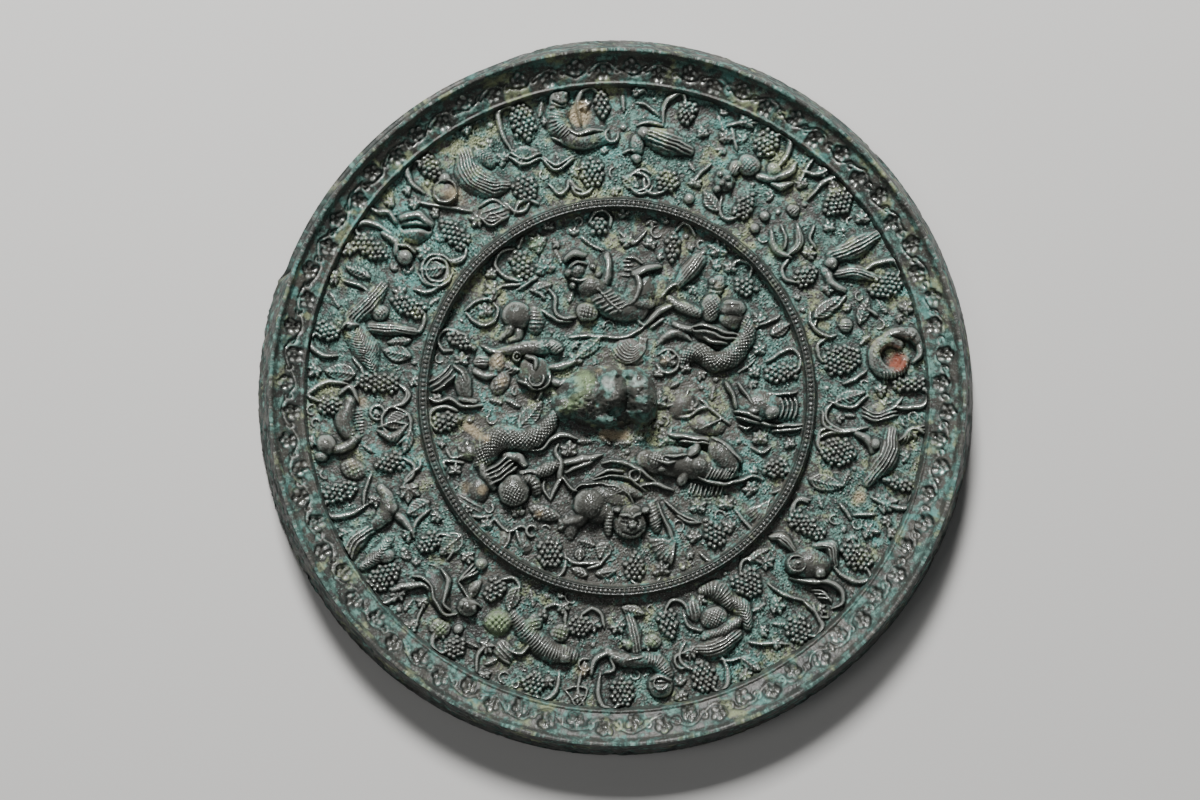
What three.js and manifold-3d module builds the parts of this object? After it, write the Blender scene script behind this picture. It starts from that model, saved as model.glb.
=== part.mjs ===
// A round cast bronze mirror with beasts and grapevine in high relief on its back.
// It lies on its slightly domed reflecting face, with the carved back up.
// Millimetres, +Z up, origin under the centre of the face.

import * as THREE from "three";
import { mergeVertices } from "three/addons/utils/BufferGeometryUtils.js";
import Module from "manifold-3d";

const wasm = await Module();
wasm.setup();

// The plate and its rim, from the outside in
const DIAMETER = 240;
const RIM_HEIGHT = 18;
const EDGE_RISE = 0.95;
const FLAT_SPOT_RADIUS = 42;
const WALL_LEAN = 4.3;
const CREST_WIDTH = 0.9;
const LIP_WIDTH = 1.5;
const LIP_DROP = 3;
const FRIEZE_WIDTH = 8;
const FRIEZE_DROP = 5;
const LINE_WIDTH = 0.8;
const LINE_HEIGHT = 0.6;
const FRIEZE_FOOT = 1.6;
const OUTER_FLOOR = 5.6;

// The pearled ring between the two fields, and the inner field
const RING_RADIUS = 64.8;
const RING_WIDTH = 2.4;
const RING_HEIGHT = 9.6;
const RING_FOOT = 1.1;
const INNER_FLOOR = 4.4;

// The pierced knob
const KNOB_TOP = 17.6;
const KNOB_LENGTH = 33;
const KNOB_WIDTH = 21;
const KNOB_OFFSET = 4;
const HOLE_WIDTH = 9;
const HOLE_HEIGHT = 6.6;

// How high the carving stands over its floor
const BEAST_HEIGHT = 6.2;
const SMALL_BEAST_HEIGHT = 4.2;
const BUNCH_HEIGHT = 4.2;
const SMALL_BUNCH_HEIGHT = 3.4;
const BERRY_GROOVE = 0.34;
const VINE_WIDTH = 2;
const VINE_HEIGHT = 2.2;
const LEAF_HEIGHT = 2;

// How far carving reaches down into the metal that it stands on
const SINK = 1.4;

// The worn stretch of the rim, where the outer skin of the wall has flaked off
const FLAKE_DEPTH = 0.8;
const FLAKE_START = 133;
const FLAKE_END = 159;

// How finely round things are divided
const LATHE_STEPS = 60;
const BODY_SIDES = 6;
const VINE_SIDES = 4;
const DOME_SIDES = 8;
const SMALL_DOME_SIDES = 6;

// Berries to a row, and the honeycomb they sit in, in berry widths
const BUNCH_ROWS = [2, 3, 2, 1];
const SMALL_BUNCH_ROWS = [1, 2, 1];
const CELL_RADIUS = 1 / Math.sqrt(3);
const ROW_PITCH = 1.5 * CELL_RADIUS;

// The carving is drawn for fields of these radii and follows the real ones
const DRAWN_INNER_RADIUS = 62.5;
const DRAWN_OUTER_START = 67;
const DRAWN_OUTER_END = 105;

const outerRadius = DIAMETER / 2;
const crestRadius = outerRadius - WALL_LEAN;
const friezeRadius = crestRadius - CREST_WIDTH - LIP_WIDTH;
const friezeTop = RIM_HEIGHT - LIP_DROP;
const lineRadius = friezeRadius - FRIEZE_WIDTH;
const lineTop = friezeTop - FRIEZE_DROP;
const outerFieldEnd = lineRadius - LINE_WIDTH;
const ringOutside = RING_RADIUS + RING_WIDTH / 2;
const ringInside = RING_RADIUS - RING_WIDTH / 2;
const outerFieldStart = ringOutside + RING_FOOT;
const innerFieldRadius = ringInside - RING_FOOT;

function toSolid(geometry) {
  geometry.deleteAttribute("normal");
  geometry.deleteAttribute("uv");
  const merged = mergeVertices(geometry);
  const mesh = new wasm.Mesh({
    numProp: 3,
    vertProperties: new Float32Array(merged.attributes.position.array),
    triVerts: new Uint32Array(merged.index.array),
  });
  return new wasm.Manifold(mesh);
}

function toGeometry(solid) {
  const mesh = solid.getMesh();
  const geometry = new THREE.BufferGeometry();
  geometry.setAttribute("position", new THREE.BufferAttribute(mesh.vertProperties, 3));
  geometry.setIndex(new THREE.BufferAttribute(mesh.triVerts, 1));
  geometry.computeVertexNormals();
  return geometry;
}

function join(solids) {
  return solids.reduce((whole, solid) => whole.add(solid));
}

// Where a point of the drawn carving lies on the mirror
function inInnerField([x, y]) {
  const scale = innerFieldRadius / DRAWN_INNER_RADIUS;
  return [x * scale, y * scale];
}

function inOuterField([bearing, distance]) {
  const share = (distance - DRAWN_OUTER_START) / (DRAWN_OUTER_END - DRAWN_OUTER_START);
  const radius = THREE.MathUtils.lerp(outerFieldStart, outerFieldEnd, share);
  const angle = THREE.MathUtils.degToRad(bearing);
  return [radius * Math.cos(angle), radius * Math.sin(angle)];
}

// A rounded lump, steeper above its floor than below it
function dome(place, width, length, height, floor, turn = 0, sides = DOME_SIDES) {
  const geometry = new THREE.SphereGeometry(1, sides, 4);
  geometry.rotateX(Math.PI / 2);
  const position = geometry.attributes.position;
  for (let i = 0; i < position.count; i += 1) {
    const z = position.getZ(i);
    position.setZ(i, z > 0 ? z * height : z * SINK);
  }
  geometry.scale(width / 2, length / 2, 1);
  geometry.rotateZ(turn);
  geometry.translate(place[0], place[1], floor);
  return toSolid(geometry);
}

// A tapered ridge along a curve: a cylinder bent to follow it
function ridge(places, startWidth, endWidth, height, floor, sides = BODY_SIDES) {
  const curve = new THREE.CatmullRomCurve3(places.map(([x, y]) => new THREE.Vector3(x, y, 0)));
  const bends = places.length - 2;
  const steps = sides === VINE_SIDES ? bends + 1 : 2 * bends + 1;
  const geometry = new THREE.CylinderGeometry(1, 1, 1, sides, steps);
  const position = geometry.attributes.position;
  for (let i = 0; i < position.count; i += 1) {
    const along = THREE.MathUtils.clamp(position.getY(i) + 0.5, 0, 1);
    const centre = curve.getPoint(along);
    const tangent = curve.getTangent(along);
    const reach = position.getX(i) * THREE.MathUtils.lerp(startWidth, endWidth, along) / 2;
    const rise = position.getZ(i);
    const z = rise > 0 ? rise * height : rise * SINK;
    position.setXYZ(i, centre.x + tangent.y * reach, centre.y - tangent.x * reach, floor + z);
  }
  return toSolid(geometry);
}

// A pointed leaf with a raised midrib
function leaf(place, width, length, height, floor, turn) {
  const geometry = new THREE.OctahedronGeometry(1, 0);
  geometry.scale(width / 2, length / 2, height);
  geometry.rotateZ(turn);
  geometry.translate(place[0], place[1], floor);
  const position = geometry.attributes.position;
  for (let i = 0; i < position.count; i += 1) {
    position.setZ(i, Math.max(position.getZ(i), floor - SINK));
  }
  return toSolid(geometry);
}

// The middles of a bunch's berries, row by row from its shoulders to its tip
function berryPlaces(rows) {
  const places = [];
  rows.forEach((count, row) => {
    for (let column = 0; column < count; column += 1) {
      places.push([column - (count - 1) / 2, ((rows.length - 1) / 2 - row) * ROW_PITCH]);
    }
  });
  return places;
}

// A bunch of grapes: a honeycomb of six-sided caps that share their corners.
// A corner with three berries round it is a valley, any other is on the outline.
function bunch(place, width, length, height, floor, turn, rows) {
  const berries = berryPlaces(rows);
  const reachX = Math.max(...rows) / 2 + 0.1;
  const reachY = ((rows.length - 1) / 2) * ROW_PITCH + CELL_RADIUS;
  const crown = (x, y) => 1 - 0.45 * ((x / reachX) ** 2 + (y / reachY) ** 2);
  const point = (x, y, z) => [(x / reachX) * (width / 2), (y / reachY) * (length / 2), z];
  const corner = ([cx, cy], k, upper) => {
    const angle = (k + 0.5) * (Math.PI / 3);
    const x = cx + CELL_RADIUS * Math.cos(angle);
    const y = cy + CELL_RADIUS * Math.sin(angle);
    const around = berries.filter(([bx, by]) => Math.hypot(bx - x, by - y) < 1.1 * CELL_RADIUS).length;
    const inside = upper ? height * (crown(x, y) - BERRY_GROOVE) : -SINK;
    return point(x, y, around === 3 ? inside : 0);
  };
  const corners = [];
  for (const berry of berries) {
    const [x, y] = berry;
    const top = point(x, y, height * crown(x, y));
    const bottom = point(x, y, -SINK);
    for (let k = 0; k < 6; k += 1) {
      corners.push(top, corner(berry, k, true), corner(berry, k + 1, true));
      corners.push(bottom, corner(berry, k + 1, false), corner(berry, k, false));
    }
  }
  const geometry = new THREE.BufferGeometry();
  geometry.setAttribute("position", new THREE.Float32BufferAttribute(corners.flat(), 3));
  geometry.rotateZ(turn);
  geometry.translate(place[0], place[1], floor);
  return toSolid(geometry);
}

function plate() {
  const profile = [
    [0, 0],
    [FLAT_SPOT_RADIUS, 0],
    [outerRadius, EDGE_RISE],
    [crestRadius, RIM_HEIGHT],
    [crestRadius - CREST_WIDTH, RIM_HEIGHT],
    [friezeRadius, friezeTop],
    [lineRadius, lineTop],
    [outerFieldEnd, lineTop + LINE_HEIGHT],
    [outerFieldEnd - FRIEZE_FOOT, OUTER_FLOOR],
    [outerFieldStart, OUTER_FLOOR],
    [ringOutside, RING_HEIGHT],
    [ringInside, RING_HEIGHT],
    [innerFieldRadius, INNER_FLOOR],
    [0, INNER_FLOOR],
  ];
  const points = profile.map(([radius, height]) => new THREE.Vector2(radius, height));
  const geometry = new THREE.LatheGeometry(points, LATHE_STEPS);
  geometry.rotateX(Math.PI / 2);
  return toSolid(geometry);
}

// The sliver that has flaked off the outside of the rim
function flake() {
  const start = THREE.MathUtils.degToRad(FLAKE_START);
  const end = THREE.MathUtils.degToRad(FLAKE_END);
  const outline = new THREE.Shape();
  outline.absarc(0, 0, outerRadius + 1, start, end, false);
  outline.absarc(0, 0, outerRadius - FLAKE_DEPTH, end, start, true);
  const geometry = new THREE.ExtrudeGeometry(outline, {
    depth: RIM_HEIGHT,
    bevelEnabled: false,
    curveSegments: 6,
  });
  geometry.translate(0, 0, -RIM_HEIGHT / 2);
  return toSolid(geometry);
}

// The arched way through the knob, along Y
function knobHole() {
  const length = 2 * KNOB_WIDTH;
  const half = HOLE_WIDTH / 2;
  const spring = INNER_FLOOR + HOLE_HEIGHT - half;
  const outline = new THREE.Shape();
  outline.moveTo(half, 0);
  outline.lineTo(half, spring);
  outline.absarc(0, spring, half, 0, Math.PI, false);
  outline.lineTo(-half, 0);
  const geometry = new THREE.ExtrudeGeometry(outline, {
    depth: length,
    bevelEnabled: false,
    curveSegments: 4,
  });
  geometry.rotateX(Math.PI / 2);
  geometry.translate(0, length / 2, 0);
  return toSolid(geometry);
}

// The knob is a crouching beast, its head to the right
function knob() {
  const height = KNOB_TOP - INNER_FLOOR;
  const middle = -KNOB_OFFSET / 2 - 2;
  const lumps = [
    dome([middle, 0], KNOB_LENGTH, KNOB_WIDTH, height * 0.86, INNER_FLOOR, 0, 12),
    dome([-1.5, 0.5], KNOB_LENGTH * 0.42, KNOB_WIDTH * 0.66, height, INNER_FLOOR),
    dome([8.5, 2.6], KNOB_LENGTH * 0.3, KNOB_WIDTH * 0.5, height * 0.8, INNER_FLOOR),
    dome([-15, -1], KNOB_LENGTH * 0.36, KNOB_WIDTH * 0.62, height * 0.66, INNER_FLOOR),
  ];
  const hole = knobHole().translate([-KNOB_OFFSET / 2, 0, 0]);
  return join(lumps).subtract(hole);
}

// Inner beasts: each is a list of lumps and ridges in the drawn inner field.
// A lump is [x, y, width, length, share of the height]; a ridge is its points, then its widths.
const innerBeasts = [
  {
    lumps: [[-10, 43, 12, 11, 1.1], [-13, 47.5, 6, 6, 0.8], [12, 39, 11, 10, 1]],
    ridges: [
      [[[-8, 37], [-2, 32], [5, 32], [11, 38]], 8, 9, 0.95],
      [[[-8, 35], [-10, 27]], 4.5, 4, 0.7],
      [[[13, 36], [10, 30], [5, 28]], 5, 3.5, 0.6],
      [[[15, 34], [19, 38], [25, 45]], 3, 5, 0.65],
    ],
  },
  {
    lumps: [[38, 30, 9, 9, 1]],
    ridges: [
      [[[38, 30], [45, 25], [42, 17], [33, 12], [22, 15]], 7, 5, 0.9],
      [[[25, 23], [40, 20]], 6, 4, 0.85],
      [[[32, 30], [26, 28], [20, 30]], 6, 3.5, 0.75],
    ],
  },
  {
    lumps: [[51, -5, 10, 9, 1]],
    ridges: [
      [[[35, 6], [40, -1], [47, -5]], 8, 8, 0.95],
      [[[53, -2], [61, -3]], 5, 3, 0.7],
      [[[53, -8], [60, -10]], 5, 3, 0.7],
    ],
  },
  {
    lumps: [[15, -21, 10, 9, 1.05]],
    ridges: [
      [[[19, -19], [28, -19], [36, -24], [43, -21]], 8, 7, 0.95],
      [[[22, -16], [31, -13]], 4, 3, 0.6],
      [[[40, -20], [34, -14]], 4, 3, 0.6],
      [[[40, -25], [49, -28]], 4, 2.5, 0.5],
    ],
  },
  {
    lumps: [[-9, -34, 11, 11, 1.05], [6, -40.5, 10, 11, 1.1]],
    ridges: [
      [[[-9, -32], [-2, -30], [5, -36]], 8, 8, 0.95],
      [[[11, -33], [15, -38], [16, -45]], 5, 3.5, 0.75],
      [[[-9, -38], [-15, -43]], 4.5, 3.5, 0.6],
      [[[-1, -34], [-2, -43]], 4.5, 3.5, 0.6],
      [[[-18, -22], [-6, -20.5], [6, -23], [13, -28]], 3, 3, 0.45],
    ],
  },
  {
    lumps: [[-39, -24, 12, 8, 0.85], [-34, -31, 10, 10, 1]],
    ridges: [
      [[[-21, -6], [-27, -13], [-38, -14], [-46, -20], [-47, -27]], 7, 6, 1],
      [[[-20, -21], [-28, -26]], 4, 3.5, 0.7],
    ],
  },
  {
    lumps: [[-35, 27, 9, 9, 1], [-28, 9, 9, 9, 1]],
    ridges: [
      [[[-34, 27], [-27, 24], [-25, 17], [-28, 10]], 8, 6, 0.9],
      [[[-33, 14], [-39, 12]], 5, 3, 0.7],
      [[[-24, 20], [-18, 17]], 4, 3, 0.6],
    ],
  },
  {
    lumps: [[-50, 8, 8, 7, 0.95]],
    ridges: [
      [[[-53, 7], [-50, 2], [-46, -2]], 7, 6, 0.9],
      [[[-62, -1], [-54, -2], [-45, -3]], 2.5, 2.5, 0.5],
    ],
  },
];

function innerBeast({ lumps, ridges }) {
  const solids = [];
  for (const [x, y, width, length, share] of lumps) {
    solids.push(dome(inInnerField([x, y]), width, length, BEAST_HEIGHT * share, INNER_FLOOR));
  }
  for (const [points, startWidth, endWidth, share] of ridges) {
    const places = points.map(inInnerField);
    solids.push(ridge(places, startWidth, endWidth, BEAST_HEIGHT * share, INNER_FLOOR));
  }
  return join(solids);
}

// Inner bunches: x, y, width, length, then which way the stem loops round, in degrees
const innerBunches = [
  [-31, 44, 8, 11, 25],
  [19, 51, 6, 10, -10],
  [43, 37, 7, 8, -35],
  [55, 8, 7, 11, -75],
  [53, -23, 7, 8, -120],
  [32, -45, 7, 10, -160],
  [6, -56, 7, 10, 180],
  [-22, -51, 8, 11, 165],
  [-48, -35, 7, 9, 130],
  [-56, -8, 7, 10, 95],
  [-51, 19, 6, 11, 65],
  [-7, 56, 6, 7, 0],
];

function innerBunch([x, y, width, length, bearing]) {
  const turn = THREE.MathUtils.degToRad(bearing);
  const out = [-Math.sin(turn), Math.cos(turn)];
  const side = [out[1], -out[0]];
  const at = (across, along) => inInnerField([
    x + side[0] * across + out[0] * along,
    y + side[1] * across + out[1] * along,
  ]);
  const stem = [at(width * 0.7, -1), at(width * 0.6, length * 0.5), at(-width * 0.3, length * 0.62)];
  return join([
    bunch(at(0, 0), width, length, BUNCH_HEIGHT, INNER_FLOOR, turn, BUNCH_ROWS),
    ridge(stem, VINE_WIDTH, VINE_WIDTH, VINE_HEIGHT, INNER_FLOOR, VINE_SIDES),
  ]);
}

// Inner leaves: x, y, width, length, turn in degrees
const innerLeaves = [
  [-22, 51, 7, 9, 30],
  [-42, 36, 7, 9, 60],
  [-44, 28, 8, 8, 0],
  [32, 48, 6, 8, -40],
  [9, 52, 4, 8, -10],
  [48, 26, 6, 8, -60],
  [17, 21, 6, 8, 30],
  [47, -40, 6, 8, 50],
  [44, -35, 5, 8, 120],
  [18, -53, 7, 9, 20],
  [-12, -54, 5, 8, -10],
  [-33, -45, 8, 8, 45],
  [-58, -22, 6, 8, 15],
  [-57, 6, 6, 12, 50],
  [-31, -5, 6, 12, -45],
  [24, -5, 5, 9, 60],
  [31, -8, 5, 9, 70],
  [-10, 17, 4, 11, 50],
];

const outerBunches = [
  [108.9, 96.7, 8, 13, 1],
  [93, 98, 6, 10, -1],
  [76.1, 97.9, 7, 9, 1],
  [59.6, 98.4, 8, 10, -1],
  [41.5, 98.3, 9, 11, 1],
  [22.6, 97.4, 8, 12, 1],
  [2.6, 97.9, 6, 11, -1],
  [-17, 98, 5, 12, 1],
  [-33.6, 96, 7.5, 12, -1],
  [-52, 98.3, 8, 10, 1],
  [-72.7, 97.4, 7.6, 11, 1],
  [-89, 98.3, 8, 10, -1],
  [-106.3, 98.8, 8, 9, 1],
  [-123.1, 98.8, 8, 9, -1],
  [-142.4, 97.9, 8, 12, 1],
  [-161.1, 97.4, 7, 11, 1],
  [-178.4, 96, 6.5, 9, -1],
  [-193.5, 98.5, 6.5, 9, 1],
  [-211.1, 96, 7, 12, -1],
  [-230.9, 98.3, 7, 10, 1],
];

// An outer bunch: bearing, distance, width, length, and the side its vine loops over
function outerBunch([bearing, distance, width, length, side]) {
  const turn = THREE.MathUtils.degToRad(bearing - 90);
  const loop = [
    [bearing + side * 0.6, distance + 5.2],
    [bearing + side * 3, distance + 6],
    [bearing + side * 4.6, distance + 2.5],
    [bearing + side * 4, distance - 3.5],
  ].map(inOuterField);
  const place = inOuterField([bearing, distance]);
  return join([
    bunch(place, width, length, SMALL_BUNCH_HEIGHT, OUTER_FLOOR, turn, SMALL_BUNCH_ROWS),
    ridge(loop, VINE_WIDTH, VINE_WIDTH * 0.7, VINE_HEIGHT, OUTER_FLOOR, VINE_SIDES),
  ]);
}

const ringBunches = [
  [113.8, 76.3, 8.5, 9],
  [96.4, 75.9, 8, 10],
  [76.9, 75.4, 8.3, 8],
  [56.2, 77, 7, 10],
  [32.7, 75.6, 7, 9],
  [9.6, 76, 9, 12],
  [-13.8, 76, 8.5, 12],
  [-34.1, 76, 6.5, 13],
  [-54.9, 76.3, 9, 10],
  [-77.3, 77, 7, 10],
  [-99.3, 77, 7.4, 8],
  [-122.5, 76.3, 7.2, 9],
  [-142.4, 78.5, 7, 9],
  [-164, 78.5, 6.5, 10],
  [-183.5, 78.3, 7, 13],
  [-203.5, 76.3, 7, 12],
  [-225, 77, 6.5, 12],
];

// A bunch of the row beside the pearled ring, with a curled leaf on its left
function ringBunch([bearing, distance, width, length], index) {
  const turn = THREE.MathUtils.degToRad(bearing + 90);
  const next = ringBunches[index - 1] ?? [ringBunches.at(-1)[0] + 360];
  const between = (bearing + next[0]) / 2;
  const curl = [
    [between + 3.6, 77],
    [between + 2.6, 71.6],
    [between - 1.4, 70.4],
    [between - 4, 74.4],
  ].map(inOuterField);
  const leafTurn = THREE.MathUtils.degToRad(between - 78);
  const place = inOuterField([bearing, distance]);
  return join([
    bunch(place, width, length, SMALL_BUNCH_HEIGHT, OUTER_FLOOR, turn, SMALL_BUNCH_ROWS),
    ridge(curl, VINE_WIDTH, VINE_WIDTH * 0.7, VINE_HEIGHT, OUTER_FLOOR, VINE_SIDES),
    leaf(inOuterField([between, 76]), 6.5, 9, LEAF_HEIGHT, OUTER_FLOOR, leafTurn),
  ]);
}

// Outer beasts and birds: bearing and distance of haunch, chest, head and tail
const outerBeasts = [
  [[91.6, 88], [98.6, 88], [101.4, 99], [104, 87]],
  [[77.5, 86], [83, 87], [84.9, 90], [87, 81.5]],
  [[62.3, 88], [57, 87.5], [52.8, 89], [64, 80]],
  [[45.8, 85], [46.6, 88], [46.4, 92], [46, 79.5]],
  [[31.5, 85], [31.4, 90], [31, 97.5], [26.6, 91]],
  [[8.4, 89], [9.8, 93], [12.6, 98.6], [11.8, 84.5]],
  [[-14.6, 88.5], [-10.6, 89.5], [-6.9, 92], [-20, 87.5]],
  [[-42.4, 82], [-43.6, 90], [-42.6, 101], [-36.8, 88]],
  [[-67.3, 82], [-66.8, 89], [-60.2, 84], [-63.5, 95]],
  [[-92.6, 88.5], [-86.4, 88], [-81.8, 96], [-95.6, 92]],
  [[-102.4, 91.5], [-107.6, 87], [-112.8, 86.5], [-118, 86]],
  [[-136, 87], [-132, 86.5], [-128.6, 88.5], [-138.4, 92.5]],
  [[-152.8, 86], [-149, 91.5], [-151, 97], [-147.2, 83]],
  [[-179.6, 89], [-175, 91.5], [-170.8, 97], [-167.6, 91]],
  [[-192.4, 91.5], [-197.6, 90.5], [-199.4, 84], [-187, 85]],
  [[-221, 88], [-216.6, 87.5], [-212.6, 85.6], [-224.4, 92]],
  [[-239.4, 83], [-237.2, 89], [-232, 89.5], [-243, 88]],
];

function outerBeast(points) {
  const [haunch, chest, head, tail] = points.map(inOuterField);
  const high = SMALL_BEAST_HEIGHT;
  const along = [chest[0] - haunch[0], chest[1] - haunch[1]];
  const middle = [(haunch[0] + chest[0]) / 2, (haunch[1] + chest[1]) / 2];
  const turn = Math.atan2(along[1], along[0]) - Math.PI / 2;
  return join([
    dome(middle, 8, Math.hypot(...along) + 6, high, OUTER_FLOOR, turn, SMALL_DOME_SIDES),
    ridge([chest, head], 6.5, 5, high * 0.85, OUTER_FLOOR, VINE_SIDES),
    dome(head, 6.5, 6.5, high * 1.05, OUTER_FLOOR, 0, SMALL_DOME_SIDES),
    ridge([haunch, tail], 4.5, 2.5, high * 0.6, OUTER_FLOOR, VINE_SIDES),
  ]);
}

// Loose leaves of the outer field: bearing, distance, width, length, turn in degrees
const outerLeaves = [
  [111.5, 86.5, 7, 8, 20],
  [104.4, 82, 11, 5, 0],
  [86.2, 102, 4, 6, 0],
  [68, 93, 5, 9, 60],
  [51, 98, 4, 9, -20],
  [36.6, 90, 3, 10, 5],
  [20.2, 87.3, 5, 9, -50],
  [-2, 90, 5, 9, 30],
  [-21.7, 96, 9, 10, 0],
  [-27.4, 94, 6, 10, -15],
  [-47.5, 90, 3, 14, 30],
  [-57.5, 96, 5, 12, 50],
  [-74, 88, 6, 7, 20],
  [-97.7, 100.5, 4, 6, 0],
  [-97.4, 83.6, 8, 7, 0],
  [-113.4, 92, 8, 7, 0],
  [-126.8, 97, 7, 7, 0],
  [-133.7, 93, 5, 6, 0],
  [-157.2, 87.4, 7, 6, 0],
  [-161.4, 87, 6, 6, 30],
  [-185.1, 92.6, 7, 11, 0],
  [-205.8, 96, 5, 9, 0],
  [-208.6, 86, 6, 8, 60],
  [-223.9, 95, 5, 8, 20],
  [-228.6, 85, 3, 16, 45],
];

function innerField() {
  const leaves = innerLeaves.map(([x, y, width, length, turn]) => (
    leaf(inInnerField([x, y]), width, length, LEAF_HEIGHT, INNER_FLOOR, THREE.MathUtils.degToRad(turn))
  ));
  return join([...innerBeasts.map(innerBeast), ...innerBunches.map(innerBunch), ...leaves]);
}

function outerField() {
  const leaves = outerLeaves.map(([bearing, distance, width, length, turn]) => (
    leaf(inOuterField([bearing, distance]), width, length, LEAF_HEIGHT, OUTER_FLOOR,
      THREE.MathUtils.degToRad(bearing - 90 + turn))
  ));
  return join([
    ...outerBunches.map(outerBunch),
    ...ringBunches.map(ringBunch),
    ...outerBeasts.map(outerBeast),
    ...leaves,
  ]);
}

const bronze = new THREE.MeshStandardMaterial({ color: 0x55645a, roughness: 0.62, metalness: 0.55 });

const body = plate().subtract(flake()).add(innerField()).add(outerField()).add(knob());
const mirror = new THREE.Mesh(toGeometry(body), bronze);
mirror.name = "mirror";

const model = new THREE.Group();
model.add(mirror);

export default model;
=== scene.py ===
import math

import bmesh
import bpy
import numpy as np
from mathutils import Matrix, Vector


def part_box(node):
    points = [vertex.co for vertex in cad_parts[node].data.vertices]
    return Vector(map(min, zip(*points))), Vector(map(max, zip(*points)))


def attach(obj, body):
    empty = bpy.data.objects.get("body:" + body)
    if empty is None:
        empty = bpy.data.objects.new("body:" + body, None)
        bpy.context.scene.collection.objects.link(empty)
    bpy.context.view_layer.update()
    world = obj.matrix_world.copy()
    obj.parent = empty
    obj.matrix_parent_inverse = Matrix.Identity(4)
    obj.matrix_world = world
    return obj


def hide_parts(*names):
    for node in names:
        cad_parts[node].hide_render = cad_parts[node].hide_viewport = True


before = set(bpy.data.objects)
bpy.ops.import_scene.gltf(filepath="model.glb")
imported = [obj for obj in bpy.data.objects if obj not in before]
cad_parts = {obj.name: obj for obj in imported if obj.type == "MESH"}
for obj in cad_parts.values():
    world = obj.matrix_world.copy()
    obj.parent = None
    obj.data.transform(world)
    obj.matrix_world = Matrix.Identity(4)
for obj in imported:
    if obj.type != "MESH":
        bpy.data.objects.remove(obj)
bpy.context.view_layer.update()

# The relief is drawn in millimetres, x to the right and y to the top, as height over the
# floor of its field. It is drawn for a mirror 240 mm across and scaled to the frame.
DRAWN_DIAMETER = 240
CELL = 0.18
INNER_FLOOR = 4.4
OUTER_FLOOR = 5.6
RING_INSIDE = 62.5
RING_OUTSIDE = 67.1
RING_TOP = 9.6
OUTER_END = 103
LINE_RADIUS = 105.3
REACH = LINE_RADIUS
FRIEZE_RADIUS = 113.3
CREST_RADIUS = 115.7
RIM_TOP = 17.9
# How far the edge of a field runs on inside the ring beside it
LAP = 0.7
random = np.random.default_rng(7)


def gauss(field, sigma):
    """The field softened over sigma cells."""
    reach = int(3 * sigma) + 1
    weights = np.exp(-0.5 * (np.arange(-reach, reach + 1) / sigma) ** 2)
    weights /= weights.sum()
    for axis in (0, 1):
        padded = np.pad(field, [(reach, reach) if i == axis else (0, 0) for i in (0, 1)], "edge")
        total = np.zeros_like(field)
        for i, weight in enumerate(weights):
            total += weight * np.take(padded, range(i, i + field.shape[axis]), axis)
        field = total
    return field


def noise(shape, finest, coarsest, seed):
    """Even noise of spread 1, with details between two sizes in cells."""
    white = np.random.default_rng(seed).standard_normal(shape)
    rows = np.fft.fftfreq(shape[0])[:, None]
    columns = np.fft.rfftfreq(shape[1])[None, :]
    pitch = np.hypot(rows, columns) + 1e-9
    keep = np.exp(-((pitch * finest) ** 2)) * (1 - np.exp(-((pitch * coarsest) ** 2))) / pitch
    field = np.fft.irfft2(np.fft.rfft2(white) * keep, shape)
    return (field / field.std()).astype(np.float32)


def grain(kind, along, across, pitch):
    """A repeating pattern between -1 and 1."""
    a = 2 * math.pi * along / pitch
    c = 2 * math.pi * across / pitch
    if kind == "ribs":
        return np.cos(a)
    if kind == "stripes":
        return np.cos(c)
    if kind == "scales":
        return 1.6 * np.abs(np.cos((a + c) / 2) * np.cos((a - c) / 2)) - 0.8
    return np.cos(a + 0.9 * np.abs(c))


def smooth_line(points, step=0.35):
    """Points along a smooth curve through the given ones."""
    p = np.array(points, float)
    p = np.vstack([2 * p[0] - p[1], p, 2 * p[-1] - p[-2]])
    line = []
    for a, b, c, d in zip(p, p[1:], p[2:], p[3:]):
        steps = max(2, int(np.hypot(*(c - b)) / step))
        t = (np.arange(steps) / steps)[:, None]
        bend = (2 * a - 5 * b + 4 * c - d) * t**2 + (3 * b - a - 3 * c + d) * t**3
        line.append(0.5 * (2 * b + (c - a) * t + bend))
    return np.vstack(line + [p[-2:-1]])


# Strokes narrower than this taper at their ends
SLIM = 2


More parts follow.
